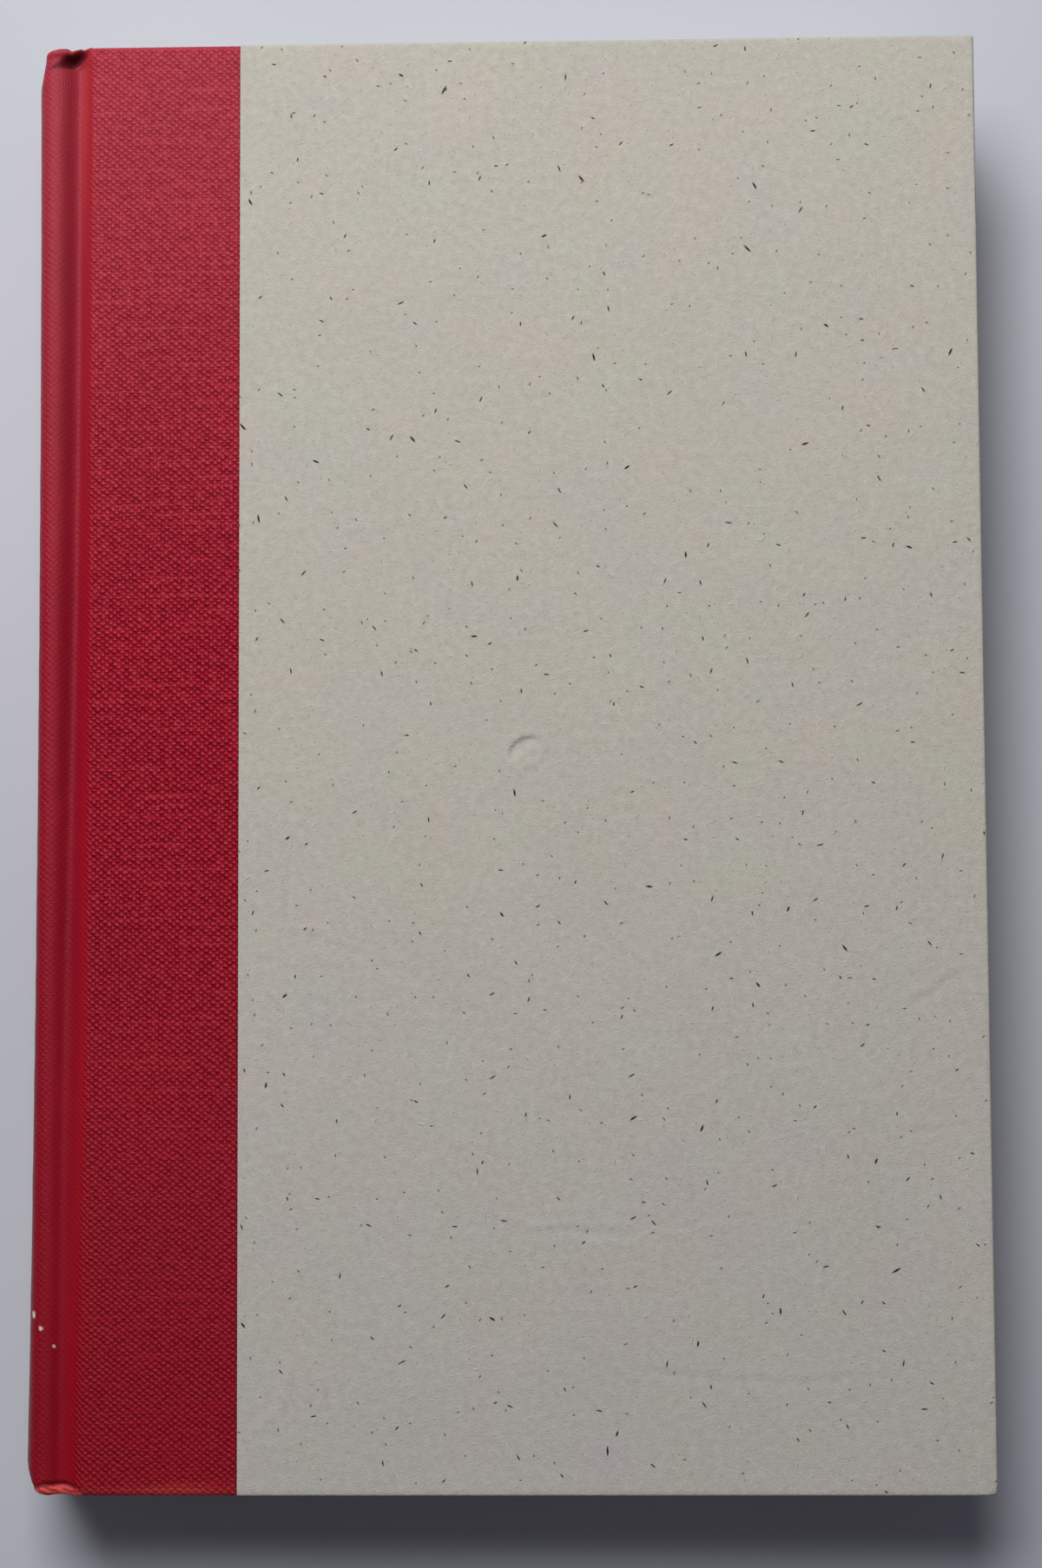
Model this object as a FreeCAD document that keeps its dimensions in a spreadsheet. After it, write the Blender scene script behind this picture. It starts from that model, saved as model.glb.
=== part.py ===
"""Quarter-bound hardback book, closed, lying on its back cover.

Frame: millimetres. X runs from the spine (-X) to the fore edge (+X), Y from the tail (-Y) to the
head (+Y) and Z upwards through the thickness. The origin is the centre of the face it rests on.
The case is two covered boards, joined by the cover cloth that runs round the spine. The page block
hangs in the case by its endpapers and its mull, and the covers turn about the two joints.
"""
import FreeCAD, Part
import math
import os

import Sketcher

os.makedirs("parts", exist_ok=True)
doc = FreeCAD.newDocument("hardback_book")
Vector = FreeCAD.Vector

# ---------------------------------------------------------------- driving dimensions, in mm and degrees
SIZES = {
    # page block
    "trim_height": 216.0,          # height of the leaves
    "block_thickness": 19.0,       # all leaves, flyleaves included
    "fore_edge_hollow": 2.0,       # depth of the hollow fore edge
    # boards
    "board_width": 136.4,
    "board_thickness": 2.2,
    "edge_round": 0.5,             # softened long edges of a board
    "corner_round": 1.2,           # softened fore corners of a board, seen from above
    "head_square": 3.2,            # how far a covered board stands past the leaves at head and tail
    "fore_square": 3.2,            # and at the fore edge
    # covering and linings
    "covering": 0.3,               # thickness of the cover cloth and of the cover paper
    "cloth_strip": 23.1,           # how far the cloth runs onto a board
    "turn_in": 15.0,               # covering turned over onto the inside of a board
    "endpaper": 0.15,
    "leaf_gap": 0.1,               # between a lining and the flyleaf under it
    "mull_thickness": 0.25,
    "mull_flap": 20.0,             # width of the mull glued to a board
    "mull_margin": 1.0,            # from the mull's end to the turned-in cloth
    "joint_lining": 0.3,           # endpaper and mull together, across the joint
    # joint and spine
    "joint_width": 6.2,            # from the board's edge to the crest of the spine
    "spine_bulge": 3.85,           # how far the round spine stands out past the crests
    "crest_drop": 0.4,             # how far a crest lies below the cover's outer face
    "crest_radius": 2.0,
    "groove_setback": 2.2,         # from the board's edge to the bottom of the pressed groove
    "groove_radius": 1.0,
    "groove_clearance": 0.05,      # between the groove's cloth and the strip under it
    "board_bend": 0.7,             # radius of the cloth where it leaves the board
    "joint_bend_setback": 2.6,     # from the board's edge to the bend of the outer leaves
    "shoulder_depth": 1.0,         # from the inside of a crest down to the block's shoulder
    "inlay_thickness": 0.5,
    "hollow": 0.6,                 # between the spine liner and the inlay
    "liner_thickness": 0.2,
    "glue_line": 0.05,             # between the block and the mull, and between the mull and the liner
    "liner_margin": 1.0,           # from the liner's end to the end of the leaves
    "liner_edge_angle": 2.0,       # by which the liner stops short of the shoulders, each side
    "endband_radius": 0.9,
    "endband_tape": 10.0,          # length of the endband's tape, glued to the spine
    "endband_sink": 0.2,           # how far the bead sinks into its tape
}

# ---------------------------------------------------------------- places worked out from them
PLACES = {
    "cover_half": "sizes.trim_height / 2 + sizes.head_square",
    "board_half": "places.cover_half - sizes.covering",
    "window_half": "places.board_half - sizes.turn_in",
    "leaf_half": "sizes.trim_height / 2",
    "spine_reach": "sizes.joint_width + sizes.spine_bulge",
    "board_edge": "(places.spine_reach - sizes.board_width - sizes.covering) / 2",
    "leaf_edge": "places.board_edge + sizes.board_width + sizes.covering - sizes.fore_square",
    # heights through the thickness
    "lining_level": "max(sizes.covering; sizes.mull_thickness)",
    "lining": "places.lining_level + sizes.endpaper",
    "cover_stack": "sizes.covering + sizes.board_thickness + places.lining",
    "flyleaf_bottom": "places.cover_stack + sizes.leaf_gap",
    "flyleaf_top": "places.flyleaf_bottom + sizes.block_thickness",
    "total": "places.flyleaf_top + places.flyleaf_bottom",
    "middle": "places.total / 2",
    "pages_top": "places.flyleaf_top - sizes.endpaper",
    "lining_bottom": "places.flyleaf_top + sizes.leaf_gap",
    "board_bottom": "places.lining_bottom + places.lining",
    "board_top": "places.board_bottom + sizes.board_thickness",
    # the cloth's crest, groove and bend: centres of the arcs of its inner face
    "crest_x": "places.board_edge - sizes.joint_width",
    "crest_z": "places.total - sizes.crest_drop - sizes.covering - sizes.crest_radius",
    "groove_x": "places.board_edge - sizes.groove_setback",
    "groove_z": "places.lining_bottom + sizes.joint_lining + sizes.groove_clearance"
                " + sizes.groove_radius",
    "bend_z": "places.board_top - sizes.board_bend",
    # the round of the spine: the cloth's inner face touches both crest arcs
    "crest_out": "sizes.spine_bulge - sizes.covering",
    "cloth_radius": "((places.crest_z - places.middle)^2 + places.crest_out^2 - sizes.crest_radius^2)"
                    " / (2 * (places.crest_out - sizes.crest_radius))",
    "round_x": "places.crest_x - places.crest_out + places.cloth_radius",
    "crest_angle": "atan2(places.crest_z - places.middle; places.round_x - places.crest_x)",
    "inlay_radius": "places.cloth_radius - sizes.inlay_thickness",
    "liner_radius": "places.inlay_radius - sizes.hollow - sizes.liner_thickness",
    "mull_radius": "places.liner_radius - sizes.glue_line - sizes.mull_thickness",
    "block_radius": "places.mull_radius - sizes.glue_line",
    # shoulders of the page block, and the slope from the joint up to them
    "tip_z": "places.crest_z + sizes.crest_radius - sizes.shoulder_depth",
    "tip_angle": "asin((places.tip_z - places.middle) / places.block_radius)",
    "tip_x": "places.round_x - places.block_radius * cos(places.tip_angle)",
    "bend_x": "places.board_edge - sizes.joint_bend_setback",
    "slope": "atan2(places.tip_z - places.pages_top; places.bend_x - places.tip_x)",
}

sizes = doc.addObject("Spreadsheet::Sheet", "sizes")
for row, (alias, size) in enumerate(SIZES.items(), 1):
    sizes.set(f"A{row}", alias)
    sizes.set(f"B{row}", str(size))
    sizes.setAlias(f"B{row}", alias)
places = doc.addObject("Spreadsheet::Sheet", "places")
for row, (alias, formula) in enumerate(PLACES.items(), 1):
    places.set(f"A{row}", alias)
    places.setAlias(f"B{row}", alias)
    places.set(f"B{row}", "=" + formula)
doc.recompute()


def number(formula):
    """The value of an expression, in mm or degrees."""
    return float(getattr(result := places.evalExpression(formula), "Value", result))


# ---------------------------------------------------------------- sketches
START, END, CENTRE = 1, 2, 3
ORIGIN = -1


def plane_sketch(body, name, role):
    """A sketch on one of its body's own origin planes."""
    sketch = body.newObject("Sketcher::SketchObject", name)
    plane = next(plane for plane in body.Origin.OriginFeatures if plane.Role == role)
    sketch.AttachmentSupport = (plane, [""])
    sketch.MapMode = "FlatFace"
    return sketch


def bind(sketch, kind, reference, formula):
    """A dimension of the sketch that follows the sheets."""
    index = sketch.addConstraint(Sketcher.Constraint(kind, *reference, number(formula)))
    sketch.setExpression(f"Constraints[{index}]", formula)


def pin(sketch, geometry, point, across=None, up=None):
    """Fix a point of a sketch across and up from the sketch's origin."""
    if across is not None:
        bind(sketch, "DistanceX", (ORIGIN, START, geometry, point), across)
    if up is not None:
        bind(sketch, "DistanceY", (ORIGIN, START, geometry, point), up)


def polygon(sketch, corners):
    """A closed outline through corners, each given as a pair of expressions."""
    points = [Vector(number(across), number(up), 0) for across, up in corners]
    lines = [sketch.addGeometry(Part.LineSegment(start, end), False)
             for start, end in zip(points, points[1:] + points[:1])]
    for line, following in zip(lines, lines[1:] + lines[:1]):
        sketch.addConstraint(Sketcher.Constraint("Coincident", line, END, following, START))
    for line, (across, up) in zip(lines, corners):
        pin(sketch, line, START, across, up)
    return lines


def arc(sketch, centre, radius, first, last, pinned=True):
    """An arc that turns anticlockwise about its centre between two angles in degrees."""
    circle = Part.Circle(Vector(number(centre[0]), number(centre[1]), 0), Vector(0, 0, 1), number(radius))
    index = sketch.addGeometry(Part.ArcOfCircle(circle, math.radians(first), math.radians(last)), False)
    if pinned:
        pin(sketch, index, CENTRE, *centre)
    bind(sketch, "Radius", (index,), radius)
    return index


def join(sketch, first, first_point, second, second_point, kind="Coincident"):
    """Two ends of outlines meet, as a corner or, with kind Tangent, smoothly."""
    sketch.addConstraint(Sketcher.Constraint(kind, first, first_point, second, second_point))


def pad(body, sketch, length, both_ways=False):
    """Pad a sketch, upwards or equally to both sides of its plane."""
    feature = body.newObject("PartDesign::Pad", "pad_" + sketch.Name)
    feature.Profile = sketch
    if both_ways:
        feature.SideType = "Symmetric"
    feature.setExpression("Length", length)
    doc.recompute()
    body.Tip = feature
    return feature


def round_edges(body, base, chosen, radius):
    """Fillet the edges of a body's last feature that chosen picks."""
    names = [f"Edge{index}" for index, edge in enumerate(base.Shape.Edges, 1) if chosen(edge)]
    feature = body.newObject("PartDesign::Fillet", "round_" + base.Name)
    feature.Base = (base, names)
    feature.setExpression("Radius", radius)
    doc.recompute()
    body.Tip = feature
    return feature


def box(name, x_from, x_to, y_half, z_from, z_to):
    """A box that is centred across the height of the book."""
    solid = doc.addObject("Part::Box", name)
    solid.setExpression("Length", f"({x_to}) - ({x_from})")
    solid.setExpression("Width", f"2 * ({y_half})")
    solid.setExpression("Height", f"({z_to}) - ({z_from})")
    solid.setExpression("Placement.Base.x", x_from)
    solid.setExpression("Placement.Base.y", f"-({y_half})")
    solid.setExpression("Placement.Base.z", z_from)
    return solid


def combine(kind, name, base, tool):
    """One Part boolean of two solids: Cut, Common or Fuse."""
    result = doc.addObject("Part::" + kind, name)
    result.Base = base
    result.Tool = tool
    return result


def mirrored(front):
    """The back cover's copy of a front piece, across the middle of the thickness."""
    back = doc.addObject("Part::Mirroring", front.Label.replace("front_", "back_"))
    back.Source = front
    back.Normal = Vector(0, 0, 1)
    back.setExpression("Base.z", "places.middle")
    return back


# ---------------------------------------------------------------- boards and their covering
BOARD_END = "places.board_edge + sizes.board_width"
TOLERANCE = 1e-4


def slab(label, margin):
    """A board's block, larger by a margin on the faces that the covering covers."""
    body = doc.addObject("PartDesign::Body", label)
    sketch = plane_sketch(body, label + "_outline", "XY_Plane")
    far = f"{BOARD_END} + {margin}"
    half = f"(places.board_half + {margin})"
    polygon(sketch, [("places.board_edge", "-" + half), (far, "-" + half),
                     (far, half), ("places.board_edge", half)])
    plain = pad(body, sketch, f"sizes.board_thickness + 2 * {margin}")
    spine_side = number("places.board_edge") + TOLERANCE

    def upright_corner(edge):
        size = edge.BoundBox
        return size.XMin > spine_side and size.ZLength > TOLERANCE

    def flat_edge(edge):
        size = edge.BoundBox
        return size.XMax > spine_side and size.ZLength < TOLERANCE

    cornered = round_edges(body, plain, upright_corner, f"sizes.corner_round + {margin}")
    round_edges(body, cornered, flat_edge, f"sizes.edge_round + {margin}")
    body.setExpression("Placement.Base.z", f"places.board_bottom - {margin}")
    return body


front_board = slab("front_board", "0")
covered = slab("covered_board", "sizes.covering")
skin = combine("Cut", "covering_skin", covered, front_board)
window = box("inside_window", "places.board_edge", BOARD_END + " - sizes.turn_in",
             "places.window_half", "places.board_bottom - sizes.covering", "places.board_bottom")
turned_in = combine("Cut", "turned_in_skin", skin, window)
CLOTH_END = "places.board_edge + sizes.cloth_strip"
cloth_zone = box("cloth_zone", "places.board_edge", CLOTH_END, "places.cover_half", "0", "places.total")
paper_zone = box("paper_zone", CLOTH_END, BOARD_END + " + sizes.covering", "places.cover_half",
                 "0", "places.total")
front_cloth = combine("Common", "front_cloth", turned_in, cloth_zone)
front_cover_paper = combine("Common", "front_cover_paper", turned_in, paper_zone)

# ---------------------------------------------------------------- mull flap and pastedown
FLAP_END = "places.board_edge + sizes.mull_flap"
front_mull_flap = box("front_mull_flap", "places.board_edge", FLAP_END,
                      "places.window_half - sizes.mull_margin",
                      "places.board_bottom - sizes.mull_thickness", "places.board_bottom")
# the pastedown lies on the turned-in covering and dips to the bare board inside it
LINING_FACE = "places.lining_bottom + sizes.endpaper"
low_sheet = box("low_sheet", "places.board_edge", "places.leaf_edge", "places.leaf_half",
                "places.lining_bottom", LINING_FACE)
raised = box("raised_sheet", FLAP_END, BOARD_END + " - sizes.turn_in", "places.window_half",
             "places.lining_bottom", "places.board_bottom")
dip = box("raised_hollow", FLAP_END + " + sizes.endpaper",
          BOARD_END + " - sizes.turn_in - sizes.endpaper", "places.window_half - sizes.endpaper",
          "places.lining_bottom", "places.board_bottom - sizes.endpaper")
front_pastedown = combine("Cut", "front_pastedown", combine("Fuse", "stepped_sheet", low_sheet, raised), dip)

# ---------------------------------------------------------------- leaves that bend up to the shoulder
PAGES_TOP = "places.pages_top"
SHOULDER = ("places.tip_x", "places.tip_z")


def layer_corners(offset, far_x):
    """Far end, bend and shoulder of a layer that lies offset above the outermost page."""
    return [(far_x, f"{PAGES_TOP} + {offset}"),
            (f"places.bend_x + ({offset}) * tan(places.slope / 2)", f"{PAGES_TOP} + {offset}"),
            (f"places.tip_x + ({offset}) * sin(places.slope)",
             f"places.tip_z + ({offset}) * cos(places.slope)")]


def layer(label, inner, outer, far_x, height):
    """A sheet between two offsets from the outermost page, from far_x over the bend to the shoulder."""
    body = doc.addObject("PartDesign::Body", label)
    sketch = plane_sketch(body, label + "_section", "XZ_Plane")
    polygon(sketch, layer_corners(inner, far_x) + layer_corners(outer, far_x)[::-1])
    pad(body, sketch, height, both_ways=True)
    return body


LINING_OFFSET = "(sizes.endpaper + sizes.leaf_gap)"
front_flyleaf = layer("front_flyleaf", "0", "sizes.endpaper", "places.leaf_edge", "sizes.trim_height")
front_joint_lining = layer("front_joint_lining", LINING_OFFSET, f"({LINING_OFFSET} + sizes.joint_lining)",
                           "places.board_edge", "sizes.trim_height")

# ---------------------------------------------------------------- page block
page_block = doc.addObject("PartDesign::Body", "page_block")
section = plane_sketch(page_block, "page_section", "XZ_Plane")
PAGES_BOTTOM = "places.total - places.pages_top"
UPPER = [("places.leaf_edge", PAGES_TOP), ("places.bend_x", PAGES_TOP), SHOULDER]
LOWER = [("places.tip_x", "places.total - places.tip_z"), ("places.bend_x", PAGES_BOTTOM),
         ("places.leaf_edge", PAGES_BOTTOM)]


def open_line(sketch, corners):
    """Joined lines through corners; returns the first and last line."""
    points = [Vector(number(across), number(up), 0) for across, up in corners]
    lines = [sketch.addGeometry(Part.LineSegment(*pair), False) for pair in zip(points, points[1:])]
    for line, following in zip(lines, lines[1:]):
        join(sketch, line, END, following, START)
    for line, corner in zip(lines, corners):
        pin(sketch, line, START, *corner)
    pin(sketch, lines[-1], END, *corners[-1])
    return lines[0], lines[-1]


def arc_between(sketch, centre_x, centre_z, radius, half_angle, upper, lower):
    """An arc that opens to +X and closes the section between two pinned line ends."""
    circle = Part.Circle(Vector(centre_x, centre_z, 0), Vector(0, 0, 1), number(radius))
    index = sketch.addGeometry(Part.ArcOfCircle(circle, math.pi - half_angle, math.pi + half_angle), False)
    join(sketch, index, START, *upper)
    join(sketch, index, END, *lower)
    bind(sketch, "Radius", (index,), radius)


upper_first, upper_last = open_line(section, UPPER)
lower_first, lower_last = open_line(section, LOWER)
arc_between(section, number("places.round_x"), number("places.middle"), "places.block_radius",
            math.radians(number("places.tip_angle")), (upper_last, END), (lower_first, START))
# the leaves are equally wide, so their fore edge is hollow where their spine is round
HALF_PAGES = "(places.pages_top - places.middle)"
FORE_RADIUS = f"({HALF_PAGES}^2 + sizes.fore_edge_hollow^2) / (2 * sizes.fore_edge_hollow)"
fore_radius = number(FORE_RADIUS)
arc_between(section, number("places.leaf_edge - sizes.fore_edge_hollow") + fore_radius,
            number("places.middle"), FORE_RADIUS, math.asin(number(HALF_PAGES) / fore_radius),
            (upper_first, START), (lower_last, END))
pad(page_block, section, "sizes.trim_height", both_ways=True)


# ---------------------------------------------------------------- what lies round the spine
def revolve(body, sketch, half_angle):
    """Turn a sketch about its own axis line, equally to both sides of the middle of the thickness."""
    feature = body.newObject("PartDesign::Revolution", "turn_" + sketch.Name)
    feature.Profile = sketch
    feature.ReferenceAxis = (sketch, ["Axis0"])
    feature.Midplane = True
    feature.setExpression("Angle", f"2 * ({half_angle})")
    doc.recompute()
    body.Tip = feature
    return feature


def round_sketch(body, name):
    """A sketch level with the middle of the thickness, with the spine's axis drawn in it."""
    sketch = plane_sketch(body, name, "XY_Plane")
    sketch.setExpression("AttachmentOffset.Base.z", "places.middle")
    axis_x = number("places.round_x")
    half = number("places.leaf_half")
    axis = sketch.addGeometry(Part.LineSegment(Vector(axis_x, -half, 0), Vector(axis_x, half, 0)), True)
    pin(sketch, axis, START, "places.round_x", "-places.leaf_half")
    pin(sketch, axis, END, "places.round_x", "places.leaf_half")
    return sketch


def band(body, name, inner_radius, outer_radius, y_from, y_to, half_angle):
    """A sheet bent round the spine, between two radii and two heights."""
    sketch = round_sketch(body, name)
    outer = f"places.round_x - ({outer_radius})"
    inner = f"places.round_x - ({inner_radius})"
    polygon(sketch, [(outer, y_from), (inner, y_from), (inner, y_to), (outer, y_to)])
    return revolve(body, sketch, half_angle)


MULL_OUTSIDE = "places.mull_radius + sizes.mull_thickness"
mull = doc.addObject("PartDesign::Body", "mull")
MULL_HALF = "places.window_half - sizes.mull_margin"
band(mull, "mull_band", "places.mull_radius", MULL_OUTSIDE, f"-({MULL_HALF})", MULL_HALF,
     "places.tip_angle")

spine_liner = doc.addObject("PartDesign::Body", "spine_liner")
LINER_HALF = "places.leaf_half - sizes.liner_margin"
band(spine_liner, "liner_band", "places.liner_radius", "places.liner_radius + sizes.liner_thickness",
     f"-({LINER_HALF})", LINER_HALF, "places.tip_angle - sizes.liner_edge_angle * 1 deg")

spine_inlay = doc.addObject("PartDesign::Body", "spine_inlay")
band(spine_inlay, "inlay_band", "places.inlay_radius", "places.cloth_radius",
     "-places.board_half", "places.board_half", "places.crest_angle")


def endband(label, sign):
    """A bead that rests on the leaves at the spine, with its tape glued to the round of the spine."""
    body = doc.addObject("PartDesign::Body", label)
    top = "(places.leaf_half + sizes.endband_radius)"
    tape_end = f"{sign}(places.leaf_half - sizes.endband_tape)"
    band(body, label + "_tape", "places.mull_radius", MULL_OUTSIDE, tape_end, sign + top,
         "places.tip_angle - sizes.liner_edge_angle * 1 deg")
    sketch = round_sketch(body, label + "_bead")
    across = "places.round_x - places.mull_radius - sizes.endband_sink + sizes.endband_radius"
    centre = Vector(number(across), number(sign + top), 0)
    circle = sketch.addGeometry(Part.Circle(centre, Vector(0, 0, 1), number("sizes.endband_radius")), False)
    pin(sketch, circle, CENTRE, across, sign + top)
    bind(sketch, "Radius", (circle,), "sizes.endband_radius")
    revolve(body, sketch, "places.tip_angle - sizes.liner_edge_angle * 1 deg")
    return body


headband = endband("headband", "")
tailband = endband("tailband", "-")


# ---------------------------------------------------------------- cloth across the joint
def unit(angle):
    return Vector(math.cos(angle), math.sin(angle), 0)


def slope_normal(over, over_radius, under, under_radius):
    """Angle of the normal of the line that passes over one circle and under another."""
    apart = under - over
    spread = math.acos((over_radius + under_radius) / apart.Length)
    heading = math.atan2(apart.y, apart.x)
    return max((heading - spread, heading + spread), key=math.sin)


def joint_side(sketch, shift):
    """One face of the joint cloth: bend off the board, pressed groove and crest, shift above the inner."""
    bend_centre = ("places.board_edge", "places.bend_z")
    groove_centre = ("places.groove_x", "places.groove_z")
    crest_centre = ("places.crest_x", "places.crest_z")
    bend_radius = f"(sizes.board_bend + {shift})"
    groove_radius = f"(sizes.groove_radius - {shift})"
    crest_radius = f"(sizes.crest_radius + {shift})"
    bend_at, groove_at, crest_at = (Vector(number(across), number(up), 0)
                                    for across, up in (bend_centre, groove_centre, crest_centre))
    steep = slope_normal(bend_at, number(bend_radius), groove_at, number(groove_radius))
    gentle = slope_normal(crest_at, number(crest_radius), groove_at, number(groove_radius))
    bend = arc(sketch, bend_centre, bend_radius, 90, math.degrees(steep))
    groove = arc(sketch, groove_centre, groove_radius, math.degrees(gentle) + 180,
                 math.degrees(steep) + 180)
    crest = arc(sketch, crest_centre, crest_radius, math.degrees(gentle), 90)
    steep_line = sketch.addGeometry(Part.LineSegment(
        bend_at + unit(steep) * number(bend_radius), groove_at - unit(steep) * number(groove_radius)), False)
    gentle_line = sketch.addGeometry(Part.LineSegment(
        groove_at - unit(gentle) * number(groove_radius), crest_at + unit(gentle) * number(crest_radius)),
        False)
    join(sketch, bend, END, steep_line, START, "Tangent")
    join(sketch, steep_line, END, groove, END, "Tangent")
    join(sketch, groove, START, gentle_line, START, "Tangent")
    join(sketch, gentle_line, END, crest, START, "Tangent")
    pin(sketch, bend, START, across="places.board_edge")
    pin(sketch, crest, END, across="places.crest_x")
    return (bend, START), (crest, END)


def close_ends(sketch, inner, outer):
    """A straight line from the inner to the outer face, at each end of a sheet."""
    for inner_end, outer_end in zip(inner, outer):
        line = sketch.addGeometry(Part.LineSegment(sketch.getPoint(*inner_end),
                                                   sketch.getPoint(*outer_end)), False)
        join(sketch, line, START, *inner_end)
        join(sketch, line, END, *outer_end)


front_joint_cloth = doc.addObject("PartDesign::Body", "front_joint_cloth")
joint_section = plane_sketch(front_joint_cloth, "joint_section", "XZ_Plane")
close_ends(joint_section, joint_side(joint_section, "0"), joint_side(joint_section, "sizes.covering"))
pad(front_joint_cloth, joint_section, "2 * places.cover_half", both_ways=True)


# ---------------------------------------------------------------- cloth round the spine
def spine_side(sketch, shift):
    """One face of the spine cloth: crest, round and crest, shift outside the inner face."""
    crest_angle = number("places.crest_angle")
    crest_radius = f"(sizes.crest_radius + {shift})"
    front_centre = ("places.crest_x", "places.crest_z")
    back_centre = ("places.crest_x", "places.total - places.crest_z")
    front = arc(sketch, front_centre, crest_radius, 90, 180 - crest_angle)
    rounded = arc(sketch, ("places.round_x", "places.middle"), f"(places.cloth_radius + {shift})",
                  180 - crest_angle, 180 + crest_angle, pinned=False)
    back = arc(sketch, back_centre, crest_radius, 180 + crest_angle, 270)
    join(sketch, front, END, rounded, START, "Tangent")
    join(sketch, rounded, END, back, START, "Tangent")
    pin(sketch, front, START, across="places.crest_x")
    pin(sketch, back, END, across="places.crest_x")
    return (front, START), (back, END)


spine_wrap = doc.addObject("PartDesign::Body", "spine_wrap")
spine_section = plane_sketch(spine_wrap, "spine_section", "XZ_Plane")
close_ends(spine_section, spine_side(spine_section, "0"), spine_side(spine_section, "sizes.covering"))
pad(spine_wrap, spine_section, "2 * places.cover_half", both_ways=True)
# at head and tail the cloth is turned in over the ends of the inlay
TURNED_RADIUS = "places.inlay_radius - sizes.covering"
MIDDLE_OF_CLOTH = "places.cloth_radius + sizes.covering / 2"
for end_name, sign in (("head", ""), ("tail", "-")):
    band(spine_wrap, end_name + "_turn_in", TURNED_RADIUS, MIDDLE_OF_CLOTH,
         f"{sign}(places.cover_half - sizes.turn_in)", f"{sign}places.cover_half", "places.crest_angle")
spine_cloth = combine("Cut", "spine_cloth", spine_wrap, spine_inlay)

# ---------------------------------------------------------------- back cover, checks and files
front_pieces = [front_board, front_cover_paper, front_cloth, front_mull_flap, front_pastedown,
                front_joint_cloth, front_joint_lining, front_flyleaf]
back_pieces = [mirrored(piece) for piece in front_pieces]
pieces = front_pieces + back_pieces + [page_block, mull, spine_liner, headband, tailband,
                                       spine_inlay, spine_cloth]
doc.recompute()

for thing in doc.Objects:
    if "Invalid" in thing.State or "Error" in thing.State:
        raise RuntimeError(f"{thing.Label} failed to build: {thing.State}")
for piece in pieces:
    shape = piece.Shape
    if shape.isNull() or not shape.isValid() or len(shape.Solids) != 1:
        raise RuntimeError(f"{piece.Label} isn't one valid solid")
    shape.exportStep(f"parts/{piece.Label}.step")
    print(f"{piece.Label}: {shape.Volume:.1f} mm3, {len(shape.Faces)} faces")
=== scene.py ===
# %% [markdown]
# # A quarter-bound hardback book
#
# The book lies closed on its back cover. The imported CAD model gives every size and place, and this
# script gives each surface its finish: red book cloth with an embossed linen grain, flecked paper
# sides, leaves with trimmed edges, and sewn endbands. Lengths are written in millimetres and turned
# to metres by MM. X runs from the spine to the fore edge, Y from the tail to the head, Z upwards.

# %% Load the fixed frame
import math
from functools import partial

import bpy
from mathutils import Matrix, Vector, noise


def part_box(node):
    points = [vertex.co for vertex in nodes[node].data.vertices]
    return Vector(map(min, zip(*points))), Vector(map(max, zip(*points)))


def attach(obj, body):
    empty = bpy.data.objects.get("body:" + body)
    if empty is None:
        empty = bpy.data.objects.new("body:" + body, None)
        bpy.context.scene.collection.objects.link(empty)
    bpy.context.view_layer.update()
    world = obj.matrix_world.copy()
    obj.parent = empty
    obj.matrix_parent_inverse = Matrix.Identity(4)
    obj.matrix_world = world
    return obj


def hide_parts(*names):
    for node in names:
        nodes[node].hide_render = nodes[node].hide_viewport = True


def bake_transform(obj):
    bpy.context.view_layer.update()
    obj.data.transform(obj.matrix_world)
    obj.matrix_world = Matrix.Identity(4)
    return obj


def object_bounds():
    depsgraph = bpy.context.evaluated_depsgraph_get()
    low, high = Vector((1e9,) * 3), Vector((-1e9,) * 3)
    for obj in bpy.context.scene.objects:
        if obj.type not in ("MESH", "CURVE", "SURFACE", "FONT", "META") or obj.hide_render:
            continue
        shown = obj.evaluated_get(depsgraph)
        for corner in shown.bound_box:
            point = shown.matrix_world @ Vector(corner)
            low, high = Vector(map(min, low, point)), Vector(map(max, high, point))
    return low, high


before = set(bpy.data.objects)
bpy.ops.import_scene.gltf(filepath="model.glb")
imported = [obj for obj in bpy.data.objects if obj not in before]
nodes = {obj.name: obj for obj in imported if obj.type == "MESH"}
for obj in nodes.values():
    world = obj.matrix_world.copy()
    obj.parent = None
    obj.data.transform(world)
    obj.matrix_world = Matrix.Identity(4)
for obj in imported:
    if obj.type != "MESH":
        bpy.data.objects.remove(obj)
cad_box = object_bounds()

MM = 0.001


def put(name, data, place=(0, 0, 0)):
    """A new object in the scene, at a place in millimetres."""
    piece = bpy.data.objects.new(name, data)
    piece.location = Vector(place) * MM
    bpy.context.scene.collection.objects.link(piece)
    return piece


# %% [markdown]
# ## Sizes read from the model
#
# All of them are kept in millimetres, because the finishes are easier to think of that way.

# %% Read sizes from the frame
def box_mm(node):
    """Lowest and highest corner of a CAD node, in millimetres."""
    low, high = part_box(node)
    return low / MM, high / MM


TOTAL = cad_box[1][2] / MM
MIDDLE = TOTAL / 2
joint_low, joint_high = box_mm("front_joint_cloth")
paper_low, paper_high = box_mm("front_cover_paper")
board_low, board_high = box_mm("front_board")
spine_low, spine_high = box_mm("spine_cloth")
pages_low, pages_high = box_mm("page_block")
lining_low, _ = box_mm("front_joint_lining")

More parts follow.
